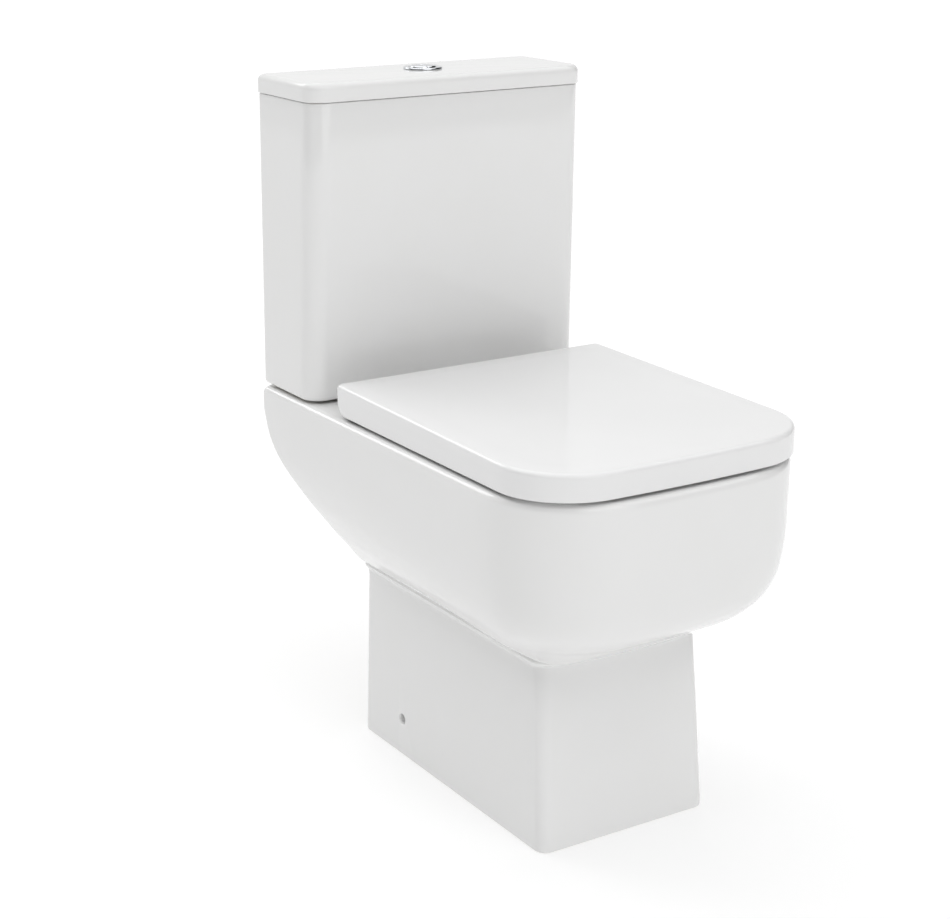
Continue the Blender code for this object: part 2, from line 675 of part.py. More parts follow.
def lid_rings(inset, crown, low):
    """Rings of the lid's outside, or of its hollow where it is inset."""
    turn = AXIS_D - SEAT_BACK - inset
    radius = SEAT_CORNER - inset
    rings = []
    for step in range(5):
        angle = math.radians(22.5 * step)
        back = AXIS_D - turn * math.sin(angle)
        z = low + (AXIS_Z - low) * (1 - math.cos(angle))
        rings.append(ring_at(z, outline(SEAT_HALF - inset, back, SEAT_FRONT - inset,
                                        radius, 0.010, None, SEAT_BOW)))
    edge = 0.006 - inset * 0.6
    for step in range(4):
        angle = math.radians(30 * step)
        shrink = inset + edge * (1 - math.cos(angle))
        drop = crown + edge * (1 - math.sin(angle))
        rings.append(ring_at(lambda distance, drop=drop: lid_top(distance) - drop,
                             outline(SEAT_HALF - shrink, SEAT_BACK + shrink,
                                     SEAT_FRONT - shrink, SEAT_CORNER - shrink,
                                     0.010 - shrink * 0.5, None, SEAT_BOW)))
    return rings


def make_seat_lid():
    """A wrap-over lid: hollow below, with hinge lugs and slots round the posts."""
    origin = (0, y_at(AXIS_D), AXIS_Z)
    lid = loft("seat_lid", lid_rings(0.0, 0.0, SEAT_Z), "seat_plastic", origin)
    hollow = lid_rings(SKIRT, 0.004, SEAT_Z - 0.0005)
    below = [(x, y, SEAT_Z - 0.01) for x, y, z in hollow[0]]
    cut(lid, loft("lid_hollow", [below] + hollow, None))
    for side, sign in SIDES:
        lug_x = sorted((sign * (HINGE_X - 0.0275), sign * (HINGE_X - 0.0115)))
        root = lid_top(AXIS_D) - 0.002 - AXIS_Z
        profile = arc(EYE_RADIUS, 180, 360) + [(EYE_RADIUS, root), (-EYE_RADIUS, root)]
        join(lid, hinge_piece("lid_lug_" + side, lug_x, profile))
        cut(lid, rod("lid_bore_" + side, PIN_RADIUS + 0.0004, sorted((sign * 0.03, sign * 0.13)),
                     AXIS_Z, AXIS_D, steps=16, along="X"))
        slot_x = sorted((sign * (HINGE_X - 0.0113), sign * (HINGE_X + 0.0290)))
        cut(lid, box("lid_slot_" + side, slot_x, (SEAT_BACK - 0.01, AXIS_D + 0.002),
                     (SEAT_Z - 0.01, AXIS_Z + 0.0072)))


def make_seat_ring():
    """A solid seat ring with rounded edges and two hinge lugs."""
    origin = (0, y_at(AXIS_D), AXIS_Z)
    low, high = RING_Z
    back = 0.203
    rings = []
    for z, shrink in ((low, 0.0015), (low + 0.0015, 0.0), (high - 0.006, 0.0),
                      (high - 0.0018, 0.0020), (high, 0.0065)):
        rings.append(ring_at(z, outline(SEAT_HALF - RING_INSET - shrink, back + shrink,
                                        SEAT_FRONT - RING_INSET - shrink,
                                        SEAT_CORNER - RING_INSET - shrink, 0.012 - shrink,
                                        None, SEAT_BOW)))
    ring = loft("seat_ring", rings, "seat_plastic", origin)
    hole = []
    for z, grow in ((low - 0.01, 0.0), (high - 0.009, 0.0), (high - 0.004, 0.0022),
                    (high - 0.001, 0.0065), (high + 0.004, 0.016)):
        hole.append(ring_at(z, outline(0.112 + grow, 0.268 - grow, 0.532 + grow,
                                       0.088 + grow, 0.088 + grow)))
    cut(ring, loft("ring_hole", hole, None))
    for side, sign in SIDES:
        lug_x = sorted((sign * (HINGE_X + 0.0115), sign * (HINGE_X + 0.0275)))
        reach = AXIS_D - back - 0.010
        profile = arc(EYE_RADIUS, -90, 60) + [(reach, 0.0030), (reach, -EYE_RADIUS)]
        join(ring, hinge_piece("ring_lug_" + side, lug_x, profile))
        cut(ring, rod("ring_bore_" + side, PIN_RADIUS + 0.0004,
                      sorted((sign * 0.03, sign * 0.13)), AXIS_Z, AXIS_D, steps=16, along="X"))


def make_buffers():
    """Soft bumpers: four under the ring and two under the lid."""
    for place_name, d, half in (("back", 0.240, 0.152), ("front", 0.500, 0.150)):
        for side, sign in SIDES:
            turned("seat_buffer_%s_%s" % (place_name, side),
                   [(0, RING_Z[0] - GAP), (0.0075, RING_Z[0] - GAP), (0.0065, RIM_Z + GAP),
                    (0, RIM_Z + GAP)], sign * half, d, "clear_bumper", 12)
    for side, sign in SIDES:
        d = 0.470
        turned("lid_buffer_" + side,
               [(0, lid_top(d) - 0.0047), (0.0060, lid_top(d) - 0.0047),
                (0.0050, RING_Z[1] + GAP), (0, RING_Z[1] + GAP)], sign * 0.145, d,
               "clear_bumper", 12)


def make_hinges():
    """Two posts on the ledge with their pins, and the fixings under the ledge."""
    under = RIM_Z - SLAB
    for side, sign in SIDES:
        x = sign * HINGE_X
        base, foot = RIM_Z + GAP - AXIS_Z, RIM_Z + 0.005 - AXIS_Z
        profile = [(-0.0185, foot), (-0.0185, base), (0.0035, base), (0.0035, foot + 0.004)]
        profile += arc(EYE_RADIUS, -40, 210, 10) + [(-0.0075, foot)]
        post = hinge_piece("hinge_post_" + side, (x - 0.0107, x + 0.0107), profile,
                           "seat_plastic")
        cut(post, rod("post_bore_" + side, PIN_RADIUS + 0.0004, sorted((sign * 0.03, sign * 0.13)),
                      AXIS_Z, AXIS_D, steps=16, along="X"))
        ends = sorted((sign * (HINGE_X - 0.0265), sign * (HINGE_X + 0.0265)))
        rod("hinge_pin_" + side, PIN_RADIUS, ends, AXIS_Z, AXIS_D, "steel", 16, "X")
        rod("seat_fixing_stud_" + side, 0.0038, (0.3900, RIM_Z), x, FIXING_D, "steel", 12)
        turned("seat_fixing_bush_" + side,
               [(0.0041, under - GAP), (0.0125, under - GAP), (0.0100, under - 0.0080),
                (0.0041, under - 0.0080)], x, FIXING_D, "rubber", 16)
        wing_nut("seat_fixing_nut_" + side, x, FIXING_D, under - 0.0083, 0.0041, "valve_plastic")


def build():
    make_pan()
    make_floor_fixings()
    make_tank()
    make_cistern_lid()
    make_buttons()
    make_flush_valve()
    make_fill_valve()
    make_coupling_bolts()
    make_seat_lid()
    make_seat_ring()
    make_buffers()
    make_hinges()


clear_scene()
PARTS = new_collection("close_coupled_toilet")
CUTTERS = new_collection("cutters")
build()
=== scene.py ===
# %% [markdown]
# # A close coupled toilet
#
# A close coupled toilet is a pan and a cistern bolted straight to each other, both cast in
# vitreous china, with a moulded seat and lid on the pan and a chrome push button in the
# cistern lid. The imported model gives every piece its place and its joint. This script gives
# the pieces that are seen their finished shape and glaze, and sets up a plain studio.
#
# Everything is in metres, with +Z up. The front faces -Y, and the wall is at +Y.

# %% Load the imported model
import json
import math

import bmesh
import bpy
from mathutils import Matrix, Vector

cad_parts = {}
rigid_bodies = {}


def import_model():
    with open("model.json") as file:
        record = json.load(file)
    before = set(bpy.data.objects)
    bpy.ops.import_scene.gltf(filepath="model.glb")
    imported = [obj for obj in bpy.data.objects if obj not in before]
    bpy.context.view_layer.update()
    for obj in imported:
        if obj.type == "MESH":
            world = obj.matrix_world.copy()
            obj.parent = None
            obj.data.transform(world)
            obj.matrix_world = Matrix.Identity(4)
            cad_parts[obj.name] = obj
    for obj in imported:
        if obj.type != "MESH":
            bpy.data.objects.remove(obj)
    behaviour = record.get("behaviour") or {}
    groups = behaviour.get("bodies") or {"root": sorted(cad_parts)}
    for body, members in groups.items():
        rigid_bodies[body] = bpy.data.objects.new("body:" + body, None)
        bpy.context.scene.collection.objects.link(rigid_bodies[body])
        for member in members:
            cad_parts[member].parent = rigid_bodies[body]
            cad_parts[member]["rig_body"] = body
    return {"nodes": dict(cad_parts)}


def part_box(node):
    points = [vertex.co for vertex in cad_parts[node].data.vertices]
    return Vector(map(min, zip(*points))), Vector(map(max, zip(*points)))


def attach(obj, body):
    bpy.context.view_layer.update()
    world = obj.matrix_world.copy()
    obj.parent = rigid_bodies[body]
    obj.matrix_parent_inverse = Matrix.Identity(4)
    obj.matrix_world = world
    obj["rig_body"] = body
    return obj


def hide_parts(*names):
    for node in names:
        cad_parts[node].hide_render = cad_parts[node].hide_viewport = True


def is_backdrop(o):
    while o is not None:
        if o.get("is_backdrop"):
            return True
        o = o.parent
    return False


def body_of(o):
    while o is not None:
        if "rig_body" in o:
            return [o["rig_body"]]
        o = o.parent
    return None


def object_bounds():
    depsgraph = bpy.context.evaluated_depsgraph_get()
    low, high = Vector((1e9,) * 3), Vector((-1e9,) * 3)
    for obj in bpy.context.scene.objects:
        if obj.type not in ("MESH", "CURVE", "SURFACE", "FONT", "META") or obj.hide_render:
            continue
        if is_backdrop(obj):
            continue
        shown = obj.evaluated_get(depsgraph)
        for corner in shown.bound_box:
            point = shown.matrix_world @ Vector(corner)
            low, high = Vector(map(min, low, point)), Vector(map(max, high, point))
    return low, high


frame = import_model()
cad_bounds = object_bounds()
print("the packed model holds", len(frame["nodes"]), "nodes")

# %% [markdown]
# ## The camera
#
# The camera stands to the left of the toilet's front, a little above the cistern, and looks
# down on it. It comes first so that every later step can be judged from it.

# %% The camera
eye = bpy.data.cameras.new("studio_camera")
eye.lens = 75.43
eye.sensor_width = 36.0
camera = bpy.data.objects.new("studio_camera", eye)
camera.location = (-1.2097, -1.7955, 1.0579)
camera.rotation_euler = [math.radians(turn) for turn in (72.703, 0.098, -32.269)]
bpy.context.scene.collection.objects.link(camera)
bpy.context.scene.camera = camera
bpy.context.scene.view_settings.view_transform = "Standard"
print("the camera stands at", tuple(camera.location))

# %% [markdown]
# ## Working in edit mode from a script
#
# An operator acts on whatever is selected, and loading the model leaves its nodes selected,
# so each step starts by deselecting everything.

# %% Selecting and applying


def deselect():
    """Leave nothing selected, in object mode."""
    if bpy.context.mode != "OBJECT":
        bpy.ops.object.mode_set(mode="OBJECT")
    bpy.ops.object.select_all(action="DESELECT")


def take(piece):
    """Make one piece the active and only selected one."""
    deselect()
    piece.select_set(True)
    bpy.context.view_layer.objects.active = piece


def open_all(piece):
    """Open one piece in edit mode, with all of it selected."""
    take(piece)
    bpy.ops.object.mode_set(mode="EDIT")
    bpy.ops.mesh.select_all(action="SELECT")


def apply_modifier(piece, modifier):
    take(piece)
    bpy.ops.object.modifier_apply(modifier=modifier.name)


# %% [markdown]
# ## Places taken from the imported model
#
# Sanitaryware is drawn from the wall outwards, so a place here is given as x, a distance
# from the wall and a height.

# %% Places
X, Y, Z = range(3)


def middle_of(node, axis):
    """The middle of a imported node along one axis."""
    low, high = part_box(node)
    return (low[axis] + high[axis]) / 2


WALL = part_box("cistern_tank")[1].y
PAN_LOW, PAN_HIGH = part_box("pan")
RIM_Z = PAN_HIGH.z
PROJECTION = WALL - PAN_LOW.y
VALVE_D = WALL - middle_of("overflow_tube", Y)


def at(x, distance, z):
    """A point that far from the wall."""
    return Vector((x, WALL - distance, z))


print("the rim is %.0f mm high and %.0f mm deep" % (RIM_Z * 1000, PROJECTION * 1000))

# %% [markdown]
# ## Outlines
#
# Seen from above, the pan, the cistern, the seat and their lids are all rectangles with
# round corners, some with a bowed front. One function draws them all with the same number
# of points, so that any outline can be joined to any other, point to point.

# %% Outlines
CORNER_STEPS = 16
STRAIGHT_STEPS = 10


def corner_points(half, back, front, r_front, r_back):
    """The four round corners, anticlockwise from above, as lists of points."""
    middles = ((half - r_front, front - r_front, r_front, -90),
               (half - r_back, back + r_back, r_back, 0),
               (r_back - half, back + r_back, r_back, 90),
               (r_front - half, front - r_front, r_front, 180))
    corners = []
    for x, distance, radius, start in middles:
        turns = [math.radians(start + 90 * step / CORNER_STEPS)
                 for step in range(CORNER_STEPS + 1)]
        corners.append([(x + radius * math.cos(turn), distance - radius * math.sin(turn))
                        for turn in turns])
    return corners


def outline(half, back, front, r_front, r_back, half_back=None, bow=0.0):
    """A rounded rectangle as (x, distance from the wall).

    half_back is the half width at the back where it differs, and bow is how far the front
    edge falls away at the sides.
    """
    corners = corner_points(half, back, front, r_front, r_back)
    points = []
    for corner, following in zip(corners, corners[1:] + corners[:1]):
        points += corner
        (x0, d0), (x1, d1) = corner[-1], following[0]
        for step in range(1, STRAIGHT_STEPS):
            share = step / STRAIGHT_STEPS
            points.append((x0 + (x1 - x0) * share, d0 + (d1 - d0) * share))
    shaped = []
    for x, distance in points:
        along = max((distance - back) / (front - back), 0.0)
        narrow = 1 + ((half_back or half) / half - 1) * (1 - along)
        shaped.append((x * narrow, distance - bow * (x / half) ** 2 * along ** 4))
    return shaped


def ring_at(z, points):
    """An outline at a height, which may be a function of the distance from the wall."""
    height = z if callable(z) else (lambda distance: z)
    return [at(x, distance, height(distance)) for x, distance in points]


print("an outline has", len(outline(0.1, 0, 0.2, 0.02, 0.02)), "points")

# %% [markdown]
# ## A shape through rings
#
# Slip-cast china has no flat sheets and no seams: its skin runs on from foot to rim. By hand
# that is a circle whose edge is extruded again and again, each new ring being pulled to its
# place. Every point remembers its number, so the ring it lands in can be set exactly.

# %% Lofting by extrusion
SAME_POINT = 0.000001


def shade(piece, degrees=32):
    """Smooth shading that keeps edges sharper than an angle."""
    take(piece)
    bpy.ops.object.shade_smooth_by_angle(angle=math.radians(degrees))


def loft(name, rings, loop=False):
    """Extrude a circle ring by ring into a closed shape; a loop ends where it began."""
    deselect()
    fill = "NOTHING" if loop else "NGON"
    bpy.ops.mesh.primitive_circle_add(vertices=len(rings[0]), radius=0.1, fill_type=fill)
    piece = bpy.context.active_object
    piece.name = piece.data.name = name
    open_all(piece)
    shape = bmesh.from_edit_mesh(piece.data)
    number = shape.verts.layers.int.new("number")
    for index, vert in enumerate(shape.verts):
        vert[number] = index
        vert.co = rings[0][index]
    bmesh.update_edit_mesh(piece.data)
    for ring in rings[1:] + (rings[:1] if loop else []):
        bpy.ops.mesh.extrude_region_move()
        shape = bmesh.from_edit_mesh(piece.data)
        number = shape.verts.layers.int["number"]
        for vert in shape.verts:
            if vert.select:
                vert.co = ring[vert[number]]
        bmesh.update_edit_mesh(piece.data)
    bpy.ops.mesh.select_all(action="SELECT")
    bpy.ops.mesh.remove_doubles(threshold=SAME_POINT)
    bpy.ops.mesh.normals_make_consistent(inside=False)
    bpy.ops.object.mode_set(mode="OBJECT")
    piece.location = (0, 0, 0)
    shade(piece)
    return piece


def full_turn(points):
    """The angles of that many points round a circle."""
    return [2 * math.pi * step / points for step in range(points)]


def circle(radius, height, x=0.0, distance=VALVE_D, points=64):
    """A level ring of points."""
    return [at(x + radius * math.cos(turn), distance - radius * math.sin(turn), height)
            for turn in full_turn(points)]


def upright_circle(radius, x, distance, height, points):
    """A ring of points that faces along X."""
    return [at(x, distance + radius * math.cos(turn), height + radius * math.sin(turn))
            for turn in full_turn(points)]


def turned(name, profile, x=0.0, distance=VALVE_D, points=64, loop=False):
    """A turned shape through (radius, height) points."""
    return loft(name, [circle(radius, height, x, distance, points)
                       for radius, height in profile], loop)


def cut(piece, cutter, operation="DIFFERENCE"):
    """Cut with, join to or keep what is inside another shape, which is then removed."""
    step = piece.modifiers.new("cut", "BOOLEAN")
    step.operation = operation
    step.solver = "EXACT"
    step.object = cutter
    apply_modifier(piece, step)
    bpy.data.objects.remove(cutter, do_unlink=True)
    return piece


def soften(piece, width, segments, degrees):
    """Round the edges that are sharper than an angle."""
    bevel = piece.modifiers.new("soft edge", "BEVEL")
    bevel.width = width
    bevel.segments = segments
    bevel.limit_method = "ANGLE"
    bevel.angle_limit = math.radians(degrees)
    apply_modifier(piece, bevel)


def rounding(radius, start, end, steps=6):
    """(sideways, upwards) offsets of an arc, between two angles in degrees."""
    turns = [math.radians(start + (end - start) * step / steps) for step in range(steps + 1)]
    return [(radius * math.cos(turn), radius * math.sin(turn)) for turn in turns]


# %% [markdown]
# ## The pan's outside
#
# The pan is drawn as level outlines, from the foot up. The pedestal is a plain tapered box.
# Above it the body flares out over a thin rolled lip, and its sides turn upright towards the
# rim. Only the levels where the shape changes are listed, and a smooth curve through them
# gives the levels between.

# %% The pan's levels
# Height, half width in front and at the back, back, front, front and back corner radius
PEDESTAL_LEVELS = (
    (0.0000, 0.1105, 0.1105, 0.1000, 0.4885, 0.0120, 0.0050),
    (0.0009, 0.1126, 0.1126, 0.1000, 0.4906, 0.0141, 0.0071),
    (0.0030, 0.1134, 0.1134, 0.1000, 0.4914, 0.0150, 0.0080),
    (0.1100, 0.1101, 0.1101, 0.1000, 0.4838, 0.0150, 0.0080),
    (0.2040, 0.1072, 0.1072, 0.1000, 0.4771, 0.0150, 0.0080),
    (0.2105, 0.1074, 0.1078, 0.1000, 0.4776, 0.0155, 0.0080),
    (0.2135, 0.1080, 0.1088, 0.0999, 0.4795, 0.0175, 0.0084),
    (0.2155, 0.1091, 0.1104, 0.0998, 0.4840, 0.0215, 0.0090),
    (0.2172, 0.1101, 0.1119, 0.0996, 0.4900, 0.0255, 0.0094),
    (0.2188, 0.1106, 0.1128, 0.0994, 0.4950, 0.0285, 0.0098),
    (0.2203, 0.1105, 0.1129, 0.0993, 0.4985, 0.0305, 0.0102),
    (0.2213, 0.1100, 0.1126, 0.0992, 0.5005, 0.0315, 0.0105),
)
BODY_LEVELS = (
    (0.2220, 0.1096, 0.1124, 0.0992, 0.5018, 0.0325, 0.0108),
    (0.2228, 0.1101, 0.1131, 0.0990, 0.5035, 0.0335, 0.0112),
    (0.2240, 0.1125, 0.1152, 0.0984, 0.5070, 0.0365, 0.0122),
    (0.2297, 0.1215, 0.1220, 0.0950, 0.5165, 0.0480, 0.0160),
    (0.2480, 0.1515, 0.1345, 0.0860, 0.5460, 0.0880, 0.0200),
    (0.2620, 0.1630, 0.1450, 0.0790, 0.5670, 0.0970, 0.0220),
    (0.2800, 0.1735, 0.1560, 0.0690, 0.5830, 0.1010, 0.0200),
    (0.3045, 0.1810, 0.1700, 0.0550, 0.5925, 0.1030, 0.0140),
    (0.3400, 0.1848, 0.1840, 0.0290, 0.5970, 0.1050, 0.0065),
    (0.3700, 0.1860, 0.1900, 0.0110, 0.5985, 0.1080, 0.0055),
    (0.4030, 0.1868, 0.1915, 0.0000, 0.6000, 0.1100, 0.0055),
)
PAN_BOW = 0.010
BOW_START, BOW_FULL = 0.2, 0.23         # heights between which the bow comes in
RIM_ROUND = 0.009
RIM_HALF, RIM_HALF_BACK = 0.1870, 0.1915
RIM_CORNER, RIM_BACK_CORNER = 0.110, 0.0055
RIM_BACK_SHARE = 0.4                    # of the rounding that the edge at the wall has


def smooth_levels(levels, between=4):
    """The listed levels with more between them, on a smooth curve through them all."""
    padded = (levels[0],) + tuple(levels) + (levels[-1],)
    rows = []
    for before, low, high, after in zip(padded, padded[1:], padded[2:], padded[3:]):
        for step in range(between):
            t = step / between
            rows.append([0.5 * (2 * b + (c - a) * t + (2 * a - 5 * b + 4 * c - d) * t ** 2
                                + (3 * b - a - 3 * c + d) * t ** 3)
                         for a, b, c, d in zip(before, low, high, after)])
    return rows + [list(levels[-1])]


def level_ring(row):
    """The ring at one level; its front is flat at the foot and bowed above."""
    z, half, half_back, back, front, r_front, r_back = row
    bow = PAN_BOW * min(max((z - BOW_START) / (BOW_FULL - BOW_START), 0.0), 1.0)
    return ring_at(z, outline(half, back, front, r_front, r_back, half_back, bow))


def pan_outside():
    """The pan's skin, from the foot up over the rolled lip to the round edge of the rim."""
    rings = [level_ring(row) for row in list(PEDESTAL_LEVELS) + smooth_levels(BODY_LEVELS)]
    for across, up in rounding(RIM_ROUND, 0, 90, 8):
        inset = RIM_ROUND - across
        rings.append(ring_at(RIM_Z - RIM_ROUND + up,
                             outline(RIM_HALF - inset, inset * RIM_BACK_SHARE,
                                     PROJECTION - inset, RIM_CORNER - inset,
                                     RIM_BACK_CORNER, RIM_HALF_BACK - inset, PAN_BOW)))
    return loft("pan_china", rings)


pan = pan_outside()
print("the pan's skin has", len(pan.data.polygons), "faces")

# %% [markdown]
# ## The pan's hollows
#
# A real pan is a shell about 10 mm thick: the bowl hangs inside the skin, the trap climbs
# behind it and comes down to a level spigot, and a duct carries the flush from the cistern.
# Booleans follow the way a mould maker thinks: the service space is everything inside the
# skin except the bowl, the trap and the duct, and it is taken away in one piece.

# %% Bowl, trap, duct and service space
PAN_WALL = 0.011
BOWL_WALL = 0.010
SLAB = 0.016
PAST = 0.01                             # how far a cutter runs past the face it cuts
PEDESTAL_CEILING = 0.214
FLARE_START = 3                         # the body level where the flare begins
FLARE_LIFT = 0.004                      # how much higher the flare's inside is
INSIDE_CORNER, INSIDE_BACK_CORNER = 0.006, 0.002
OUTLET_Z = 0.185
OUTLET_END = 0.045
TRAP_RADIUS = 0.034
SPIGOT_RADII = (0.0355, 0.038, 0.040, 0.041)
TRAP_START = ((0.325, 0.083), (0.300, 0.083))
TRAP_BEND = (0.275, 0.128, 0.045)       # distance, height and radius of a bend's middle
WEIR_BEND = (0.180, 0.150, 0.050)
DUCT_INSIDE = ((-0.045, 0.045), (0.030, 0.245), (0.350, 0.384))
DUCT_OUTSIDE = ((-0.056, 0.056), (0.012, 0.25), (0.338, 0.43))
BOWL_BOTTOM = 0.05                      # below this the bowl's wall is added downwards
# Height, half width, the same again, back, front, front and back corner radius
BOWL_LEVELS = (
    (0.047, 0.022, 0.022, 0.288, 0.345, 0.020, 0.020),
    (0.056, 0.034, 0.034, 0.280, 0.357, 0.033, 0.033),
    (0.085, 0.041, 0.041, 0.277, 0.370, 0.040, 0.040),
    (0.130, 0.047, 0.047, 0.276, 0.390, 0.046, 0.046),
    (0.180, 0.059, 0.059, 0.273, 0.422, 0.058, 0.056),
    (0.230, 0.077, 0.077, 0.266, 0.464, 0.074, 0.070),
    (0.280, 0.099, 0.099, 0.254, 0.508, 0.088, 0.080),
    (0.325, 0.119, 0.119, 0.241, 0.543, 0.096, 0.084),
    (0.360, 0.131, 0.131, 0.231, 0.560, 0.100, 0.084),
    (0.385, 0.136, 0.136, 0.226, 0.566, 0.102, 0.084),
    (0.4225, 0.136, 0.136, 0.226, 0.566, 0.102, 0.084),
)


def bowl_shape(name, wall, lip):
    """The bowl's inside, or its outside where it has a wall; lip rounds its mouth."""
    rings = []
    for z, half, _, back, front, r_front, r_back in smooth_levels(BOWL_LEVELS, 3):
        low = wall if z < BOWL_BOTTOM else 0.0
        rings.append(ring_at(z - low, outline(half + wall, back - wall, front + wall,
                                              r_front + wall, r_back + wall)))
    half, _, back, front, r_front, r_back = BOWL_LEVELS[-1][1:]
    for across, up in rounding(lip, 180, 90, 6):
        grow = wall + lip + across
        rings.append(ring_at(RIM_Z - lip + up,
                             outline(half + grow, back - grow, front + grow,
                                     r_front + grow, r_back + grow)))
    rings.append([point + Vector((0, 0, PAST)) for point in rings[-1]])
    return loft(name, rings)


def pipe(name, path, radii, points=48):
    """A round bar along (distance, height) points, with a radius at each."""
    rings = []
    for index, ((distance, height), radius) in enumerate(zip(path, radii)):
        (d0, z0), (d1, z1) = path[max(index - 1, 0)], path[min(index + 1, len(path) - 1)]
        along = Vector((0, d0 - d1, z1 - z0)).normalized()
        up = along.cross(Vector((1, 0, 0)))
        centre = at(0, distance, height)
        rings.append([centre + radius * (math.cos(turn) * Vector((1, 0, 0))
                                         + math.sin(turn) * up)
                      for turn in full_turn(points)])
    return loft(name, rings)


def trap_path():
    """From the bottom of the bowl, up over the weir and out level to the spigot."""
    path = list(TRAP_START)
    for (distance, height, radius), turns in ((TRAP_BEND, (-90, -180)), (WEIR_BEND, (0, 90))):
        path += [(distance + across, height + up)
                 for across, up in rounding(radius, *turns, 12)]
    return path + [(0.155, 0.197), (0.142, 0.1945), (0.130, OUTLET_Z + 0.004),
                   (0.120, OUTLET_Z + 0.001), (0.112, OUTLET_Z)]


def block(name, x, distances, z):
    """A cutter with flat sides between two x values, two distances and two heights."""
    (x0, x1), (d0, d1), (z0, z1) = x, distances, z
    deselect()
    centre = at((x0 + x1) / 2, (d0 + d1) / 2, (z0 + z1) / 2)
    bpy.ops.mesh.primitive_cube_add(size=1, location=centre)
    made = bpy.context.active_object
    made.name = name
    made.scale = (abs(x1 - x0), abs(d1 - d0), abs(z1 - z0))
    bpy.ops.object.transform_apply(location=True, rotation=True, scale=True)
    return made


def service_space():
    """The hollow under the bowl, open to the floor and to the wall."""
    wall = PAN_WALL
    rings = []
    back = -2 * PAST
    for z, row in ((-PAST, PEDESTAL_LEVELS[2]), (PEDESTAL_CEILING, PEDESTAL_LEVELS[4])):
        rings.append(ring_at(z, outline(row[1] - wall, back, row[4] - wall, INSIDE_CORNER,
                                        INSIDE_BACK_CORNER)))
    for z, half, half_back, _, front, r_front, _ in smooth_levels(BODY_LEVELS[FLARE_START:], 3):
        rings.append(ring_at(z + FLARE_LIFT,
                             outline(half - wall, back, front - wall, r_front - wall,
                                     INSIDE_BACK_CORNER, half_back - wall, PAN_BOW)))
    rings.append(ring_at(RIM_Z - SLAB,
                         outline(RIM_HALF - wall, back, PROJECTION - wall, RIM_CORNER - wall,
                                 INSIDE_BACK_CORNER, RIM_HALF_BACK - wall, PAN_BOW)))
    return loft("service_space", rings)


def trap_shape(name, wall, end):
    """The trap's inside, or its outside where it has a wall; it widens into the spigot."""
    path = trap_path()
    bores = [TRAP_RADIUS] * (len(path) - len(SPIGOT_RADII)) + list(SPIGOT_RADII)
    bores.append(SPIGOT_RADII[-1])
    return pipe(name, path + [(end, OUTLET_Z)], [bore + wall for bore in bores])


def add_two_slots(piece):
    """One material slot for the glazed faces and one for the bare ones."""
    for _ in range(2):
        piece.data.materials.append(None)


def mark_bare(cutter):
    """Give a cutter's faces the second slot, so that what it cuts stays bare."""
    add_two_slots(cutter)
    for face in cutter.data.polygons:
        face.material_index = 1


space = service_space()
cut(space, bowl_shape("bowl_outside", BOWL_WALL, lip=0.001))
cut(space, trap_shape("trap_outside", BOWL_WALL, OUTLET_END))
cut(space, block("duct_outside", *DUCT_OUTSIDE))
mark_bare(space)
add_two_slots(pan)
cut(pan, space)
cut(pan, trap_shape("trap_outside", BOWL_WALL, OUTLET_END), "UNION")
cut(pan, bowl_shape("bowl_inside", 0.0, lip=0.0085))
cut(pan, trap_shape("trap_inside", 0.0, OUTLET_END - 2 * PAST))
print("the pan is now a shell of", len(pan.data.polygons), "faces")

# %% [markdown]
# ## Holes in the pan
#
# The ledge has a recess for the gasket, a hole for the water inlet and pairs of holes for
# the cistern bolts and the seat fixings. Glaze cannot hold a sharp edge, so a hole in it opens
# with a small rounded mouth, and the cutter carries that shape. Low on each side of the
# pedestal there is a hole for the screw into the floor bracket.

# %% Drilling the pan
MOUTH = 0.0015
COUPLING_X = middle_of("coupling_bolt_right", X)
INLET_X = middle_of("fill_valve_stem", X)
HINGE_X = middle_of("hinge_post_right", X)
FIXING_D = WALL - middle_of("seat_fixing_stud_right", Y)
# Radius and depth below the rim
GASKET_RECESS = (0.0470, 0.027)
FLUSH_THROAT = (0.0260, 0.071)
INLET_HOLE = (0.0220, 0.031)
COUPLING_HOLE = (0.0058, 0.031)
SEAT_HOLE = (0.0070, 0.031)
SIDE_HOLE_D, SIDE_HOLE_Z, SIDE_HOLE_RADIUS = 0.1895, 0.046, 0.0062
SIDE_HOLE_START = 0.09                  # inside the pedestal's wall
SIDE_MOUTH = 0.0030


def drill(name, hole, top, x, distance, mouth=MOUTH, points=48):
    """An upright cutter whose mouth flares with a quarter round where it meets a face."""
    radius, depth = hole
    profile = [(radius, top - depth), (radius, top - mouth)]
    profile += [(radius + mouth + across, top - mouth + up)
                for across, up in rounding(mouth, 180, 90, 5)[1:]]
    profile.append((radius + mouth, top + PAST))
    return turned(name, profile, x, distance, points)


def side_drill(sign):
    """A level cutter with a rounded mouth, for the hole in the pedestal's side.

    The mouth's curve stops short of the face's own direction, so that it meets the face at
    an edge, and the flat face around it stays smooth.
    """
    low, high = PEDESTAL_LEVELS[2][1], PEDESTAL_LEVELS[4][1]
    face = low + (high - low) * (SIDE_HOLE_Z / PEDESTAL_LEVELS[4][0])
    arc = rounding(SIDE_MOUTH, 180, 130, 5)
    profile = [(SIDE_HOLE_RADIUS, SIDE_HOLE_START)]
    profile += [(SIDE_HOLE_RADIUS + SIDE_MOUTH + across, face - arc[-1][1] + up)
                for across, up in arc]
    profile.append((profile[-1][0], face + PAST))
    return loft("side_drill", [upright_circle(radius, sign * x, SIDE_HOLE_D, SIDE_HOLE_Z, 48)
                               for radius, x in profile])


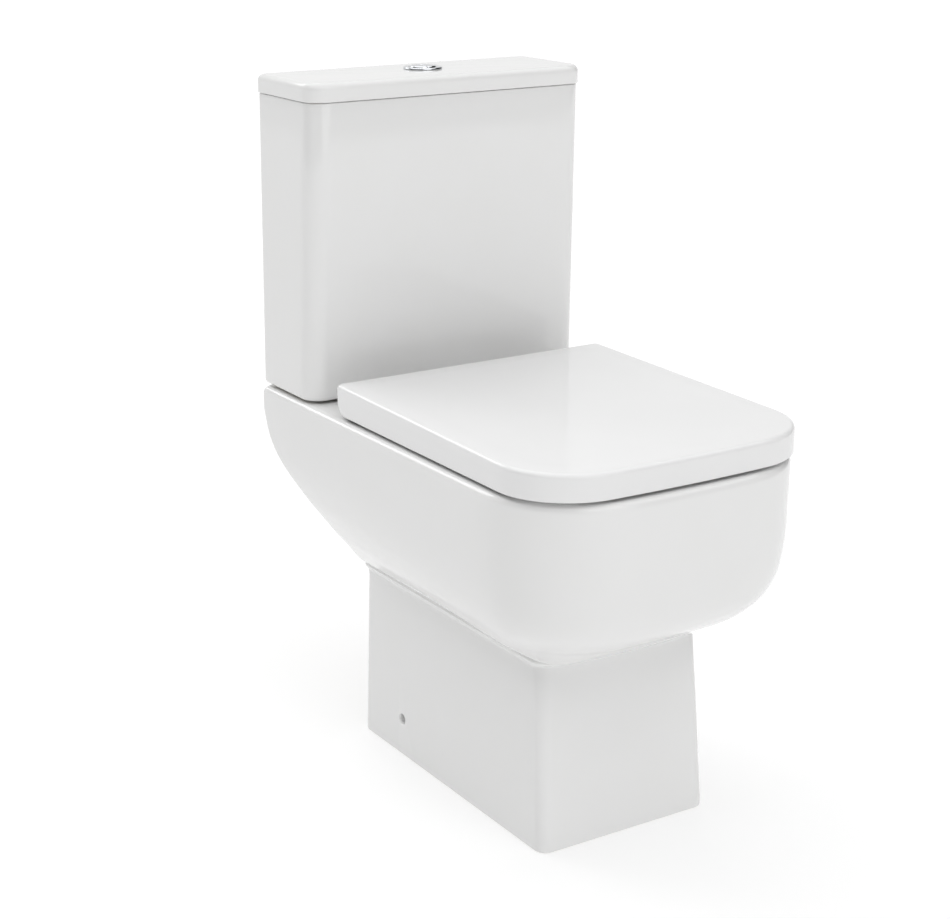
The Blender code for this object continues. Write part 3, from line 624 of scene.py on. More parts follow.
cut(pan, drill("gasket_recess", GASKET_RECESS, RIM_Z, 0, VALVE_D))
cut(pan, drill("flush_throat", FLUSH_THROAT, RIM_Z, 0, VALVE_D, mouth=0.0))
cut(pan, block("flush_duct", *DUCT_INSIDE))
cut(pan, drill("inlet_hole", INLET_HOLE, RIM_Z, INLET_X, VALVE_D))
for sign in (-1, 1):
    cut(pan, drill("coupling_hole", COUPLING_HOLE, RIM_Z, sign * COUPLING_X, VALVE_D, points=32))
    cut(pan, drill("seat_hole", SEAT_HOLE, RIM_Z, sign * HINGE_X, FIXING_D, points=32))
    cut(pan, side_drill(sign))
shade(pan)
print("the pan has its holes, and", len(pan.data.polygons), "faces")

# %% [markdown]
# ## The cistern
#
# The cistern is an open box with a wall 9 mm thick. It leans forwards a little as it rises,
# and its floor and lower edge are rounded. One run of rings goes from the middle of the
# floor inside, up the inner wall, over the top edge and down the outside.

# %% The cistern tank
TANK_LOW, TANK_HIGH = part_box("cistern_tank")
TANK_HALF = (0.1880, 0.1836)
TANK_DEPTH = (0.1180, 0.1325)
TANK_CORNER, TANK_BACK_CORNER, SMALLEST_CORNER = 0.025, 0.005, 0.003
TANK_WALL = 0.009
TANK_FLOOR = 0.012
FLOOR_ROUND = 0.007
TANK_EDGE = 0.006
TOP_EDGE = 0.0012
CHINA_MOUTH = 0.0008
THROUGH = 0.03                          # deep enough for any hole in the tank or its lid
TANK_HOLES = ((0.0318, 0.0), (0.0115, INLET_X),      # radius and place
              (0.0052, -COUPLING_X), (0.0052, COUPLING_X))


def tank_size(z):
    """The half width and the depth at a height, as it leans forwards and narrows."""
    share = (z - TANK_LOW.z) / (TANK_HIGH.z - TANK_LOW.z)
    return [low + (high - low) * share for low, high in (TANK_HALF, TANK_DEPTH)]


def cistern_ring(z, half, depth, inset):
    return ring_at(z, outline(half - inset, inset, depth - inset, TANK_CORNER - inset,
                              max(TANK_BACK_CORNER - inset, SMALLEST_CORNER)))


def tank_ring(z, inset):
    return cistern_ring(z, *tank_size(z), inset)


def make_tank():
    low, high = TANK_LOW.z, TANK_HIGH.z
    rings = [tank_ring(low + TANK_FLOOR + FLOOR_ROUND + up, TANK_WALL + FLOOR_ROUND - across)
             for across, up in rounding(FLOOR_ROUND, -90, 0, 6)]
    rings += [tank_ring(high - TOP_EDGE + up, TANK_WALL - TOP_EDGE - across)
              for across, up in rounding(TOP_EDGE, 180, 90, 3)]
    rings += [tank_ring(high - TOP_EDGE + up, TOP_EDGE - across)
              for across, up in rounding(TOP_EDGE, 90, 0, 3)]
    rings += [tank_ring(low + TANK_EDGE + up, TANK_EDGE - across)
              for across, up in rounding(TANK_EDGE, 0, -90, 6)]
    tank = loft("tank_china", rings)
    for radius, x in TANK_HOLES:
        cut(tank, drill("tank_hole", (radius, THROUGH), low + TANK_FLOOR, x, VALVE_D,
                        CHINA_MOUTH))
    shade(tank)
    return tank


tank = make_tank()
print("the cistern tank has", len(tank.data.polygons), "faces")

# %% [markdown]
# ## The cistern lid
#
# The lid is a shallow hollow tray turned upside down. A rib under it drops inside the
# cistern and keeps it in place, and its upper edge is rounded all the way round.

# %% The cistern lid
LID_GAP = 0.0007
LID_LOW_Z = TANK_HIGH.z + LID_GAP
LID_TOP_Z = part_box("cistern_lid")[1].z
LID_HALF, LID_DEPTH = 0.1850, 0.1340
LID_ROUND = 0.0085
LID_PLATE = 0.0085
LID_FOOT = 0.0012
POCKET_INSET, RIB_INSET = 0.009, 0.002      # from the tank's inner wall
CEILING_ROUND = 0.003
RIB_EDGE = 0.001
BUTTON_HOLE_RADIUS = 0.0190


def make_cistern_lid():
    pocket, rib = TANK_WALL + POCKET_INSET, TANK_WALL + RIB_INSET
    ceiling, rib_z = LID_TOP_Z - LID_PLATE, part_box("cistern_lid")[0].z
    inside = ((ceiling, pocket + CEILING_ROUND),
              (ceiling - CEILING_ROUND * 0.3, pocket + CEILING_ROUND * 0.3),
              (ceiling - CEILING_ROUND, pocket),
              (rib_z + RIB_EDGE, pocket),
              (rib_z, pocket - RIB_EDGE),
              (rib_z, rib + RIB_EDGE),
              (rib_z + RIB_EDGE, rib),
              (LID_LOW_Z, rib))
    rings = [cistern_ring(z, TANK_HALF[1], TANK_DEPTH[1], inset) for z, inset in inside]
    rings += [cistern_ring(LID_LOW_Z + LID_FOOT + up, LID_HALF, LID_DEPTH, LID_FOOT - across)
              for across, up in rounding(LID_FOOT, -90, 0, 4)]
    rings += [cistern_ring(LID_TOP_Z - LID_ROUND + up, LID_HALF, LID_DEPTH, LID_ROUND - across)
              for across, up in rounding(LID_ROUND, 0, 90, 9)]
    lid = loft("cistern_lid_china", rings)
    cut(lid, drill("button_hole", (BUTTON_HOLE_RADIUS, THROUGH), LID_TOP_Z, 0, VALVE_D,
                   CHINA_MOUTH))
    shade(lid)
    return lid


cistern_lid = make_cistern_lid()
print("the cistern lid has", len(cistern_lid.data.polygons), "faces")

# %% [markdown]
# ## The seat lid
#
# The lid wraps over the ring: a moulded shell with a skirt 3.5 mm thick. Behind the hinge
# line its section curves up and back about the hinge, so that it clears the ledge as it
# turns. The top falls gently to the front and is a little crowned, which keeps it from
# looking like a cut board.

# %% The seat lid
LID_CAD_LOW, LID_CAD_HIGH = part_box("seat_lid")
AXIS_D = WALL - middle_of("hinge_pin_right", Y)
AXIS_Z = middle_of("hinge_pin_right", Z)
SEAT_HALF = 0.1820
BACK_TRIM = 0.004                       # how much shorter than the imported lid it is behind
SEAT_BACK = WALL - LID_CAD_HIGH.y + BACK_TRIM
SEAT_FRONT = WALL - LID_CAD_LOW.y
SEAT_Z = LID_CAD_LOW.z
SEAT_TOP = (0.4700, 0.4640)
SEAT_CORNER = 0.082
SEAT_BACK_CORNER, SMALLEST_SEAT_CORNER = 0.007, 0.004
SEAT_BOW = 0.008
SKIRT = 0.0035
SKIRT_FOOT = 0.0009
LID_EDGE, LID_INNER_EDGE = 0.0055, 0.0035
LID_SHELL = 0.004
CROWN_LIFT, CROWN_REACH = 0.0005, 0.150


def lid_top(distance):
    """Height of the lid's top face, which falls gently to the front."""
    share = (distance - SEAT_BACK) / (SEAT_FRONT - SEAT_BACK)
    return SEAT_TOP[0] + (SEAT_TOP[1] - SEAT_TOP[0]) * share


def lid_outline(inset, back):
    return outline(SEAT_HALF - inset, back, SEAT_FRONT - inset, SEAT_CORNER - inset,
                   max(SEAT_BACK_CORNER - inset * 0.6, SMALLEST_SEAT_CORNER), None,
                   SEAT_BOW)


def skirt_rings(inset, low, steps=10):
    """The lid's upright sides, round about the hinge line at the back."""
    turn = AXIS_D - SEAT_BACK - inset
    rings = []
    for step in range(steps + 1):
        angle = math.radians(90 * step / steps)
        z = low + (AXIS_Z - low) * (1 - math.cos(angle))
        rings.append(ring_at(z, lid_outline(inset, AXIS_D - turn * math.sin(angle))))
    return rings


def edge_rings(inset, edge, under=0.0, steps=8):
    """The round edge between the sides and the top face, under it by a thickness."""
    rings = []
    for across, up in rounding(edge, 0, 90, steps):
        shrink = inset + edge - across
        drop = under + edge - up
        rings.append(ring_at(lambda distance, drop=drop: lid_top(distance) - drop,
                             lid_outline(shrink, SEAT_BACK + shrink)))
    return rings


def crown_rings():
    """Rings in from the edge that lift the middle of the top by half a millimetre."""
    rings = []
    for share in (0.15, 0.4, 0.7, 0.9):
        shrink = LID_EDGE + CROWN_REACH * share
        lift = CROWN_LIFT * (1 - (1 - share) ** 2)
        half = SEAT_HALF - shrink
        points = outline(half, SEAT_BACK + shrink, SEAT_FRONT - shrink,
                         max(SEAT_CORNER - shrink, 0.3 * half),
                         max(SEAT_BACK_CORNER - shrink, 0.2 * half), None,
                         SEAT_BOW * (1 - share))
        rings.append(ring_at(lambda distance, lift=lift: lid_top(distance) + lift, points))
    return rings


def make_seat_lid():
    """The shell, from the middle of its hollow, down, round the foot and up over the top."""
    hollow = edge_rings(SKIRT, LID_INNER_EDGE, LID_SHELL)[::-1]
    hollow += skirt_rings(SKIRT, SEAT_Z + SKIRT_FOOT)[::-1]
    foot = [ring_at(SEAT_Z, lid_outline(SKIRT * 0.7, AXIS_D + 0.0002)),
            ring_at(SEAT_Z, lid_outline(SKIRT * 0.3, AXIS_D + 0.0001))]
    outside = skirt_rings(0.0, SEAT_Z + SKIRT_FOOT) + edge_rings(0.0, LID_EDGE)
    return loft("seat_lid_shell", hollow + foot + outside + crown_rings())


def hinge_plate(name, x0, x1, profile):
    """A plate between two x values, its outline drawn about the hinge line."""
    rings = []
    for x in (x0, x1):
        rings.append([at(x, AXIS_D - across, AXIS_Z + up) for across, up in profile])
    return loft(name, rings)


PIN_LOW, PIN_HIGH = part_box("hinge_pin_right")
PIN_BORE = (PIN_HIGH.z - PIN_LOW.z) / 2 + 0.0004
PIN_DRILL = (0.03, 0.13)                # the x values that the drill runs between
EYE_RADIUS = 0.0085
LUG_FROM_POST = (0.0275, 0.0115)        # from the hinge post's middle, inwards or outwards
LUG_BURIED = 0.002                      # how deep a lug runs into the lid's top
SLOT_FROM_POST = (-0.0113, 0.0290)
SLOT_FRONT, SLOT_TOP = 0.002, 0.0072    # from the hinge line


def pin_drill(sign):
    """A level cutter for the pin's bore, through one side's lugs."""
    return loft("pin_drill", [upright_circle(PIN_BORE, sign * x, AXIS_D, AXIS_Z, 32)
                              for x in PIN_DRILL])


seat_lid = make_seat_lid()
for sign in (-1, 1):
    root = lid_top(AXIS_D) - LUG_BURIED - AXIS_Z
    lug = rounding(EYE_RADIUS, 180, 360, 20) + [(EYE_RADIUS, root), (-EYE_RADIUS, root)]
    ends = [sign * (HINGE_X - reach) for reach in LUG_FROM_POST]
    cut(seat_lid, hinge_plate("lid_lug", *ends, lug), "UNION")
    cut(seat_lid, pin_drill(sign))
    cut(seat_lid, block("lid_slot", [sign * (HINGE_X + reach) for reach in SLOT_FROM_POST],
                        (SEAT_BACK - PAST, AXIS_D + SLOT_FRONT),
                        (SEAT_Z - PAST, AXIS_Z + SLOT_TOP)))
shade(seat_lid)
print("the seat lid has", len(seat_lid.data.polygons), "faces")

# %% [markdown]
# ## The seat ring
#
# The ring's section runs round on itself, so its rings do too: under it, up the outside,
# over the soft top and down into the opening, back to the start. The seating face dips
# towards the opening, as a moulded seat does.

# %% The seat ring
RING_LOW_Z, RING_TOP_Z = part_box("seat_ring")[0].z, 0.4560
RING_BACK = 0.203
RING_INSET = 0.0055
RING_BACK_CORNER = 0.012
OPENING = (0.112, 0.268, 0.532, 0.088)      # half width, back, front and corner radius
UNDER_EDGE = 0.0015
OUTER_ROUND, INNER_ROUND = 0.0065, 0.0078
# How far below the top and how far out from the opening, where the seating face dips
SEATING_DIP = ((0.0002, 0.0260), (0.0008, 0.0175), (0.0016, 0.0115))
INNER_DROP = 0.0094                     # from the top to the middle of the inner round
RING_LUG_BURIED, RING_LUG_TOP = 0.010, 0.0030


def ring_outer(z, shrink):
    return ring_at(z, outline(SEAT_HALF - RING_INSET - shrink, RING_BACK + shrink,
                              SEAT_FRONT - RING_INSET - shrink,
                              SEAT_CORNER - RING_INSET - shrink,
                              max(RING_BACK_CORNER - shrink, SMALLEST_SEAT_CORNER), None,
                              SEAT_BOW))


def ring_inner(z, grow):
    half, back, front, corner = OPENING
    return ring_at(z, outline(half + grow, back - grow, front + grow, corner + grow,
                              corner + grow))


def make_seat_ring():
    low, high = RING_LOW_Z, RING_TOP_Z
    rings = [ring_inner(low, UNDER_EDGE), ring_outer(low, UNDER_EDGE)]
    rings += [ring_outer(low + UNDER_EDGE + up, UNDER_EDGE - across)
              for across, up in rounding(UNDER_EDGE, -60, 0, 3)]
    rings += [ring_outer(high - OUTER_ROUND + up, OUTER_ROUND - across)
              for across, up in rounding(OUTER_ROUND, 0, 90, 9)]
    rings += [ring_inner(high - drop, out) for drop, out in SEATING_DIP]
    rings += [ring_inner(high - INNER_DROP + up, INNER_ROUND + across)
              for across, up in rounding(INNER_ROUND, 90, 180, 9)]
    rings += [ring_inner(low + UNDER_EDGE + up, UNDER_EDGE + across)
              for across, up in rounding(UNDER_EDGE, 180, 240, 3)]
    return loft("seat_ring_moulding", rings, loop=True)


seat_ring = make_seat_ring()
for sign in (-1, 1):
    root = AXIS_D - RING_BACK - RING_LUG_BURIED
    lug = rounding(EYE_RADIUS, -90, 60, 18) + [(root, RING_LUG_TOP), (root, -EYE_RADIUS)]
    ends = [sign * (HINGE_X + reach) for reach in LUG_FROM_POST[::-1]]
    cut(seat_ring, hinge_plate("ring_lug", *ends, lug), "UNION")
    cut(seat_ring, pin_drill(sign))
shade(seat_ring)
print("the seat ring has", len(seat_ring.data.polygons), "faces")

# %% [markdown]
# ## The push button
#
# A dual flush button is a chrome bezel with two part round caps in it. The bezel is a turned
# shape, so it is drawn as circles, and the caps are one dome that is cut along a chord. The
# cut edges are then rounded with a bevel, because chrome plating never leaves them sharp.

# %% The bezel and the two buttons
BEZEL = (0.0230, 0.0185, 0.0164)      # flange, sleeve and bore radius
SEAL_GAP = 0.0003                     # between the flange and the china
FLANGE_EDGE = ((-0.0002, 0.0), (0.0, 0.0003), (0.0, 0.0008))
FLANGE_ROUND, FLANGE_DROP, FLANGE_SQUASH = 0.0018, 0.0013, 0.72
BORE_ROUND = 0.0008
BUTTON_RADIUS = 0.0160
BUTTON_GAP = 0.0003                   # from the middle of the gap to a cap
DOME_SHOULDER, DOME_SAG = 0.0022, 0.0010
BUTTON_LOW, BUTTON_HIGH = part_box("full_flush_button")
BUTTON_SPLIT = BUTTON_LOW.x - BUTTON_GAP
BEZEL_LOW, BEZEL_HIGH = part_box("button_bezel")


def make_bezel():
    flange, sleeve, bore = BEZEL
    low, top, under = BEZEL_LOW.z, BEZEL_HIGH.z, LID_TOP_Z + SEAL_GAP
    profile = [(bore, low), (sleeve, low), (sleeve, under)]
    profile += [(flange + across, under + up) for across, up in FLANGE_EDGE]
    profile += [(flange - FLANGE_ROUND + across, top - FLANGE_DROP + up * FLANGE_SQUASH)
                for across, up in rounding(FLANGE_ROUND, 15, 90, 6)]
    profile += [(bore + BORE_ROUND + across, top - BORE_ROUND + up)
                for across, up in rounding(BORE_ROUND, 90, 180, 4)]
    return turned("button_bezel_chrome", profile, points=96, loop=True)


def make_dome():
    """A shallow dome with a rounded shoulder, before it is cut in two."""
    rim = BUTTON_RADIUS - DOME_SHOULDER
    crown = [(rim * share, BUTTON_HIGH.z - DOME_SAG * share ** 2)
             for share in (0.12, 0.3, 0.5, 0.7, 0.85)]
    profile = [(BUTTON_RADIUS, BUTTON_LOW.z)]
    profile += [(rim + across, BUTTON_HIGH.z - DOME_SAG - DOME_SHOULDER + up)
                for across, up in rounding(DOME_SHOULDER, 0, 90, 7)]
    return turned("dome", profile + crown[::-1], points=96)


def make_button(name, keep_right):
    """One half of the dome, with its cut edges rounded."""
    button = make_dome()
    button.name = button.data.name = name
    gap = BUTTON_GAP if keep_right else -BUTTON_GAP
    open_all(button)
    bpy.ops.mesh.bisect(plane_co=(BUTTON_SPLIT + gap, 0, 0), plane_no=(1, 0, 0),
                        use_fill=True, clear_inner=keep_right, clear_outer=not keep_right)
    bpy.ops.object.mode_set(mode="OBJECT")
    soften(button, width=0.0005, segments=3, degrees=50)
    shade(button)
    return button


bezel = make_bezel()
full_button = make_button("full_flush_chrome", True)
half_button = make_button("half_flush_chrome", False)
print("the push button is", round(BEZEL[0] * 2000), "mm across")

# %% [markdown]
# ## The smaller fittings
#
# The posts, pins, bolts, nuts, seals and valves already have the right shape in the packed
# model, but with bare edges and flat facets. Each is copied, its loose triangles are merged
# into a skin, and its edges get a small bevel, so that they catch the light as moulded
# plastic, turned brass and rubber do.

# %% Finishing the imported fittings


def finished_copy(node, width, degrees=40):
    """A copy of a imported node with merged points, soft edges and smooth faces."""
    source = frame["nodes"][node]
    made = bpy.data.objects.new(node + "_finished", source.data.copy())
    bpy.context.scene.collection.objects.link(made)
    open_all(made)
    bpy.ops.mesh.remove_doubles(threshold=10 * SAME_POINT)
    bpy.ops.mesh.tris_convert_to_quads()
    bpy.ops.mesh.dissolve_limited(angle_limit=math.radians(0.5))
    bpy.ops.object.mode_set(mode="OBJECT")
    soften(made, width, segments=2, degrees=45)
    shade(made, degrees)
    return made


SIDES = ("left", "right")


def both(*names):
    """The left and right node of each of these names."""
    return [name + side for side in SIDES for name in names]


FITTINGS = [                           # slot, width of the soft edges, nodes
    ("seat_plastic", 0.0008, both("hinge_post_")),
    ("brass", 0.0004, both("coupling_bolt_", "coupling_wing_nut_")),
    ("steel", 0.0003, both("coupling_washer_", "hinge_pin_", "seat_fixing_stud_",
                           "floor_screw_")),
    ("rubber", 0.0004, ["flush_valve_washer", "flush_valve_seal", "fill_valve_washer"]
     + both("coupling_seal_", "seat_fixing_bush_")),
    ("foam", 0.0006, ["close_coupling_gasket"]),
    ("clear_bumper", 0.0006, both("seat_buffer_back_", "seat_buffer_front_", "lid_buffer_")),
    ("valve_plastic", 0.0004, ["flush_valve_base", "flush_valve_backnut", "flush_valve_cage",
                               "fill_valve_stem", "fill_valve_backnut", "fill_valve_head",
                               "button_clamp_nut", "full_flush_rod", "half_flush_rod"]
     + both("seat_fixing_nut_", "floor_bracket_")),
    ("valve_plastic", 0.0012, ["float"]),
    ("valve_blue", 0.0004, ["overflow_tube"]),
    ("valve_red", 0.0006, ["float_arm"]),
]
finished = []
for slot, width, nodes in FITTINGS:
    for node in nodes:
        body = body_of(frame["nodes"][node])[0]
        finished.append((finished_copy(node, width), node, body, slot))
print(len(finished), "fittings are finished")

# %% [markdown]
# ## What each piece stands for
#
# Every shown piece rides on the body that it moves with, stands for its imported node, and
# takes its finish from one of the part's material slots. The seat lid rides on the lid's own
# body, so that it can open while the ring stays down.

# %% Riding, replacing and slots
pieces = [                             # piece, node, body, slot
    (pan, "pan", "root", "vitreous_china"),
    (tank, "cistern_tank", "root", "vitreous_china"),
    (cistern_lid, "cistern_lid", "cistern_lid", "vitreous_china"),
    (bezel, "button_bezel", "cistern_lid", "chrome"),
    (full_button, "full_flush_button", "full_flush", "chrome"),
    (half_button, "half_flush_button", "half_flush", "chrome"),
    (seat_ring, "seat_ring", "seat", "seat_plastic"),
    (seat_lid, "seat_lid", "lid", "seat_plastic"),
] + finished
for piece, node, body, slot in pieces:
    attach(piece, body)
    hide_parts(node)

# %% [markdown]
# ## Mixing a finish
#
# A colour is written as the hex code that a paint or plastics chart would give, and one
# function turns it into the linear numbers that a shader works in. Whatever is the same all
# over a piece is set on the shader itself. Whatever varies over it comes from noise, at a
# size in millimetres that is read off the object's own coordinates.

# %% Colours and nodes
WHITE = (1.0, 1.0, 1.0, 1.0)
NOISE_LOW, NOISE_HIGH = 0.3, 0.7        # the values that most of a noise lies between


def hex_colour(code):
    """The linear colour of an sRGB hex code."""
    parts = [int(code[start:start + 2], 16) / 255 for start in (1, 3, 5)]
    return tuple(part / 12.92 if part <= 0.04045 else ((part + 0.055) / 1.055) ** 2.4
                 for part in parts) + (1.0,)


def new_finish(name, colour, roughness, **sockets):
    """A material with the values that are the same all over the piece."""
    material = bpy.data.materials.new(name)
    material.use_nodes = True
    shader = material.node_tree.nodes["Principled BSDF"]
    shader.inputs["Base Color"].default_value = hex_colour(colour)
    shader.inputs["Roughness"].default_value = roughness
    for socket, value in sockets.items():
        shader.inputs[socket.replace("_", " ")].default_value = value
    return material, shader


def add_node(material, kind, inputs=None, **settings):
    """Add a node with its settings. An input may be a value or another node's output."""
    tree = material.node_tree
    node = tree.nodes.new(kind)
    for name, value in settings.items():
        setattr(node, name, value)
    for name, value in (inputs or {}).items():
        if isinstance(value, bpy.types.NodeSocket):
            tree.links.new(value, node.inputs[name])
        else:
            node.inputs[name].default_value = value
    return node


def per_metre(millimetres):
    """The scale of a texture whose features are this many millimetres apart."""
    return 1000 / millimetres


def vary(material, shader, grain, two_tone=None, shine=None, relief=(), place=None):
    """Let noise vary a finish: its colour, its roughness and its surface.

    grain is the size of the patches in mm, two_tone a pair of hex colours, shine a lowest
    and highest roughness, and relief a list of (size in mm, height in metres).
    """
    link = material.node_tree.links.new
    if place is None:
        place = add_node(material, "ShaderNodeTexCoord").outputs["Object"]
    patches = add_node(material, "ShaderNodeTexNoise",
                       {"Vector": place, "Scale": per_metre(grain), "Detail": 3.0})
    if two_tone:
        mix = add_node(material, "ShaderNodeMix", {0: patches.outputs["Fac"]},
                       data_type="RGBA")
        mix.inputs[6].default_value = hex_colour(two_tone[0])
        mix.inputs[7].default_value = hex_colour(two_tone[1])
        link(mix.outputs[2], shader.inputs["Base Color"])
    if shine:
        gloss = add_node(material, "ShaderNodeMapRange",
                         {"Value": patches.outputs["Fac"], "From Min": NOISE_LOW,
                          "From Max": NOISE_HIGH, "To Min": shine[0], "To Max": shine[1]})
        link(gloss.outputs["Result"], shader.inputs["Roughness"])
    bump = None
    for size, height in relief:
        ripple = add_node(material, "ShaderNodeTexNoise",
                          {"Vector": place, "Scale": per_metre(size), "Detail": 1.0})
        inputs = {"Height": ripple.outputs["Fac"], "Distance": height, "Strength": 1.0}
        if bump:
            inputs["Normal"] = bump.outputs["Normal"]
        bump = add_node(material, "ShaderNodeBump", inputs)
    if bump:
        link(bump.outputs["Normal"], shader.inputs["Normal"])


print("a glazed white is", [round(part, 2) for part in hex_colour("#E8E8E7")])

# %% [markdown]
# ## Glazed vitreous china
#
# Vitreous china is cast clay under a glass glaze that is sprayed on and melted. The glaze is
# nearly a mirror, but it pulls into a slow ripple some 20 mm long as it cools, with a fine
# orange peel over that, so reflections waver a little. Where the casting stands in the kiln,
# and inside where no one looks, it stays bare: dull and slightly cream.

# %% Glazed and bare china
glazed_china, shader = new_finish("glazed_vitreous_china", "#E8E8E7", 0.07, IOR=1.52)
vary(glazed_china, shader, 70, two_tone=("#E9E9E9", "#E7E7E6"), shine=(0.05, 0.10),
     relief=((22, 0.00005), (4, 0.000004)))

bare_china, shader = new_finish("bare_vitreous_china", "#DDDAD4", 0.65, IOR=1.5)
vary(bare_china, shader, 9, two_tone=("#DFDCD6", "#D4D1CA"), shine=(0.55, 0.75),
     relief=((1.5, 0.00006),))

# %% [markdown]
# ## Moulded seat plastic
#
# The seat and its lid are pressed from urea, a hard thermoset that is whiter and a shade
# cooler than china. The tool is polished, so the surface is glossy with almost no ripple.

# %% Seat plastic
seat_urea, shader = new_finish("moulded_urea_plastic", "#E9E9E9", 0.12, IOR=1.54)
vary(seat_urea, shader, 50, two_tone=("#EAEAEA", "#E8E8E8"), shine=(0.09, 0.15),
     relief=((30, 0.00003), (2.5, 0.000002)))

# %% [markdown]
# ## Metals
#
# Chrome plate on the button is buffed to a mirror, with a faint haze from handling. The brass
# bolts are turned, which leaves fine rings round them. The steel pieces are zinc plated,
# which is greyer and mottled. A metal's colour is all in its base colour.

# %% Chrome, brass and zinc plate
chrome, shader = new_finish("buffed_chrome_plate", "#DADCDF", 0.07, Metallic=1.0)
vary(chrome, shader, 8, two_tone=("#DCDEE1", "#D3D5D9"), shine=(0.05, 0.12),
     relief=((6, 0.000006),))

brass, shader = new_finish("turned_brass", "#D9BC78", 0.3, Metallic=1.0)
brass_place = add_node(brass, "ShaderNodeTexCoord").outputs["Object"]
brass_rings = add_node(brass, "ShaderNodeMapping",
                       {"Vector": brass_place, "Scale": (0.05, 0.05, 1.0)}).outputs["Vector"]
vary(brass, shader, 0.8, two_tone=("#DDC180", "#CDAE69"), shine=(0.22, 0.38),
     relief=((0.5, 0.00002),), place=brass_rings)

zinc_plate, shader = new_finish("zinc_plated_steel", "#C6C8CB", 0.34, Metallic=1.0)
vary(zinc_plate, shader, 3, two_tone=("#CBCDD1", "#B9B9B4"), shine=(0.26, 0.42),
     relief=((0.7, 0.00001),))

# %% [markdown]
# ## Rubber, foam and soft bumpers
#
# The seals are moulded EPDM rubber, black with a grey bloom. The ring between tank and pan is
# closed cell foam, whose skin shows its cells. The bumpers are a clear soft PVC, cloudy
# enough to look grey against the white pan.

# %% Rubber, foam and bumpers
epdm, shader = new_finish("moulded_epdm_rubber", "#343434", 0.6, IOR=1.5)
vary(epdm, shader, 6, two_tone=("#303031", "#3F3F40"), shine=(0.52, 0.7),
     relief=((0.6, 0.00003),))

foam, shader = new_finish("closed_cell_foam", "#5E5E5F", 0.85, IOR=1.45)
foam_place = add_node(foam, "ShaderNodeTexCoord").outputs["Object"]
cells = add_node(foam, "ShaderNodeTexVoronoi",
                 {"Vector": foam_place, "Scale": per_metre(1.4)})
pores = add_node(foam, "ShaderNodeBump",
                 {"Height": cells.outputs["Distance"], "Distance": 0.0004})
foam.node_tree.links.new(pores.outputs["Normal"], shader.inputs["Normal"])
vary(foam, shader, 5, two_tone=("#59595A", "#68686A"), shine=(0.78, 0.92))

clear_pvc, shader = new_finish("soft_clear_pvc", "#E3E4E0", 0.3, IOR=1.45,
                               Transmission_Weight=0.35)
vary(clear_pvc, shader, 4, two_tone=("#E6E7E4", "#D8D9D4"), shine=(0.24, 0.38),
     relief=((1.2, 0.00001),))

# %% [markdown]
# ## Valve plastics
#
# The valves are polypropylene, moulded in a fine spark eroded texture and coloured right
# through: white for the bodies, blue for the overflow tube and red for the float arm, so that
# a fitter can tell the moving pieces apart.

# %% Polypropylene in three colours


def polypropylene(name, light, dark):
    """Polypropylene in one colour, a pair of near shades."""
    made, its_shader = new_finish(name, light, 0.4, IOR=1.49)
    vary(made, its_shader, 12, two_tone=(light, dark), shine=(0.34, 0.46),
         relief=((0.8, 0.00001),))
    return made


white_valve = polypropylene("white_polypropylene", "#EFEFEC", "#E6E6E2")
blue_valve = polypropylene("blue_polypropylene", "#5A82BC", "#4C74AE")
red_valve = polypropylene("red_polypropylene", "#CC4F45", "#BD4239")

# %% [markdown]
# ## Putting the finishes on
#
# Each slot has one finish. China has two: the faces that the service space's cutter marked,
# stand on the kiln shelf, touch the wall or lie inside the tank are given the bare one.

# %% Finishes on the pieces
FINISHES = {"seat_plastic": seat_urea, "chrome": chrome, "brass": brass, "steel": zinc_plate,
            "rubber": epdm, "foam": foam, "clear_bumper": clear_pvc,
            "valve_plastic": white_valve, "valve_blue": blue_valve, "valve_red": red_valve}
FACING = 0.9                            # a normal this long in a direction faces it
TOUCHING = 0.0006


def clothe(piece, finish):
    piece.data.materials.clear()
    piece.data.materials.append(finish)


def clothe_china(piece, is_bare):
    """Glaze a piece, but for the faces marked bare and those that is_bare picks."""
    marks = [face.material_index for face in piece.data.polygons]
    clothe(piece, glazed_china)
    piece.data.materials.append(bare_china)
    for face, mark in zip(piece.data.polygons, marks):
        face.material_index = int(mark == 1 or is_bare(face.center, face.normal))
    print(piece.name, "has", sum(face.material_index for face in piece.data.polygons),
          "bare faces of", len(piece.data.polygons))


def pan_is_bare(middle, normal):
    """The foot on the floor and the edge against the wall."""
    against_wall = normal.y > FACING and WALL - middle.y < TOUCHING
    return middle.z < TOUCHING or against_wall


def tank_is_bare(middle, normal):
    """The inside of the tank, and the underside that it is fired on."""
    edge = TANK_WALL * 0.7
    half, depth = [size - edge for size in tank_size(middle.z)]
    inside = abs(middle.x) < half and edge < WALL - middle.y < depth
    outwards = middle.x * normal.x + (middle.y - WALL + depth / 2) * normal.y
    return (inside and outwards < 0.001) or middle.z < TANK_LOW.z + TOUCHING / 2


def lid_is_bare(middle, normal):
    """The underside of the lid, within the tank's wall."""
    within = (abs(middle.x) < TANK_HALF[1] - TANK_WALL
              and TANK_WALL < WALL - middle.y < TANK_DEPTH[1] - TANK_WALL)
    return within and normal.z < -FACING


for piece, node, body, slot in pieces:
    if slot in FINISHES:
        clothe(piece, FINISHES[slot])
for piece, is_bare in ((pan, pan_is_bare), (tank, tank_is_bare), (cistern_lid, lid_is_bare)):
    clothe_china(piece, is_bare)
print(len(bpy.data.materials), "materials are in the file")

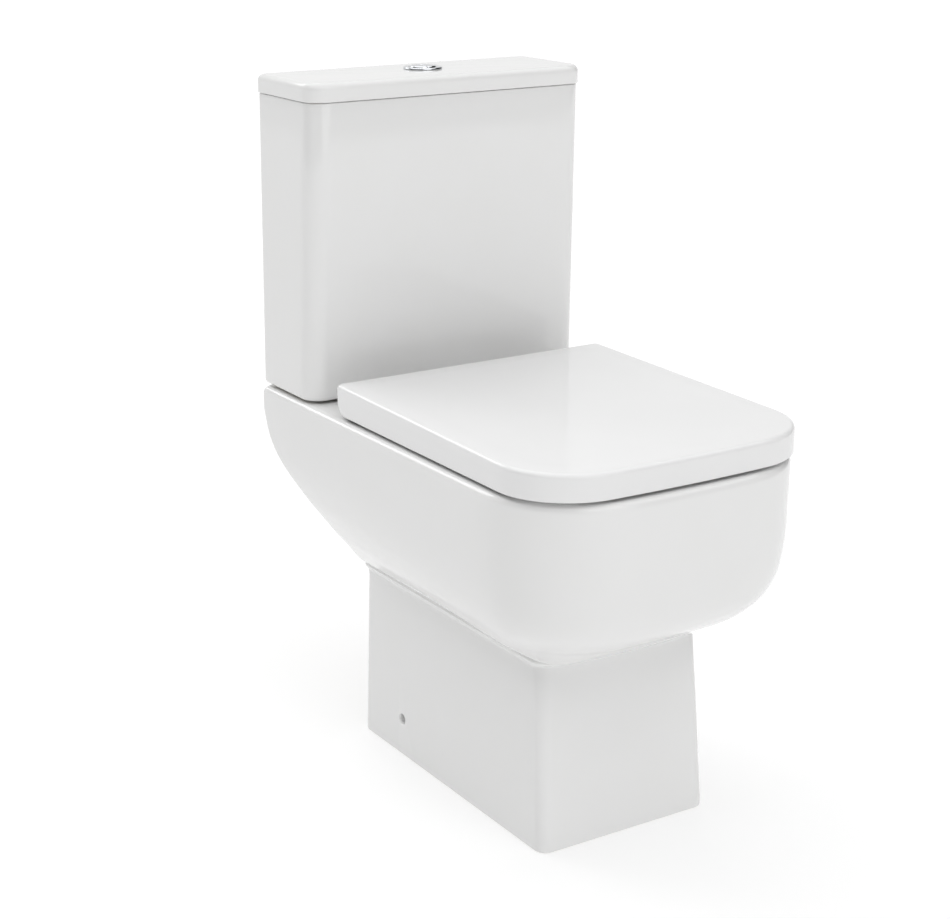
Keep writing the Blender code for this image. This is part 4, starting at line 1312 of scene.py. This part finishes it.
# %% [markdown]
# ## The studio
#
# White china on a white floor is lit softly, or its shadows turn it grey. The floor is one
# large matt sheet with a little light coming through it, as a light table has, so that
# hardly any shadow shows. The world is dark in front and white behind: seen at a glancing
# angle the glazed tops mirror what is behind them, and the fronts do not. Three suns with
# very wide discs stand for large soft boxes above, in front and on the left, and a narrower
# one behind draws the bright lines along the rounded shoulders.

# %% Floor and light
FLOOR_SIZE = 60.0
deselect()
bpy.ops.mesh.primitive_plane_add(size=FLOOR_SIZE, location=(0, 0, 0))
floor = bpy.context.object
floor.name = "studio_floor"
light_table, shader = new_finish("light_table", "#BCBCBC", 0.9, Emission_Strength=0.50,
                                 Emission_Color=WHITE)
clothe(floor, light_table)
floor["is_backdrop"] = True

world = bpy.data.worlds.new("studio")
world.use_nodes = True
bpy.context.scene.world = world
background = world.node_tree.nodes["Background"]
direction = add_node(world, "ShaderNodeTexCoord").outputs["Generated"]
split = add_node(world, "ShaderNodeSeparateXYZ", {"Vector": direction})
behind = add_node(world, "ShaderNodeMapRange",
                  {"Value": split.outputs["Y"], "From Min": 0.2, "From Max": 0.8,
                   "To Min": 0.0, "To Max": 0.85}, interpolation_type="SMOOTHSTEP")
world.node_tree.links.new(behind.outputs["Result"], background.inputs["Strength"])
background.inputs["Color"].default_value = WHITE

SUNS = [                               # name, light on a facing surface, disc, turn
    ("top_light", 0.76, 90, (4, 0, 0)),
    ("front_light", 0.28, 60, (66, 0, 0)),
    ("left_light", 0.04, 60, (66, 0, -70)),
    ("rear_light", 0.12, 22, (-56, 0, 20)),
]
for name, strength, disc, turn in SUNS:
    lamp = bpy.data.lights.new(name, "SUN")
    lamp.energy = strength * math.pi
    lamp.angle = math.radians(disc)
    sun = bpy.data.objects.new(name, lamp)
    sun.rotation_euler = [math.radians(angle) for angle in turn]
    bpy.context.scene.collection.objects.link(sun)
print("the studio has", len(SUNS), "lights")

# %% [markdown]
# ## The outer size
#
# The finished pieces should fill the imported model's box and stay inside it, so the size of
# each box is printed.

# %% Print the size of both boxes
sizes = {"cad": [list(corner) for corner in cad_bounds],
         "visual": [list(corner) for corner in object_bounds()]}
for low, high in sizes.values():
    print("the box is", [round((high[axis] - low[axis]) * 1000, 2) for axis in range(3)], "mm")
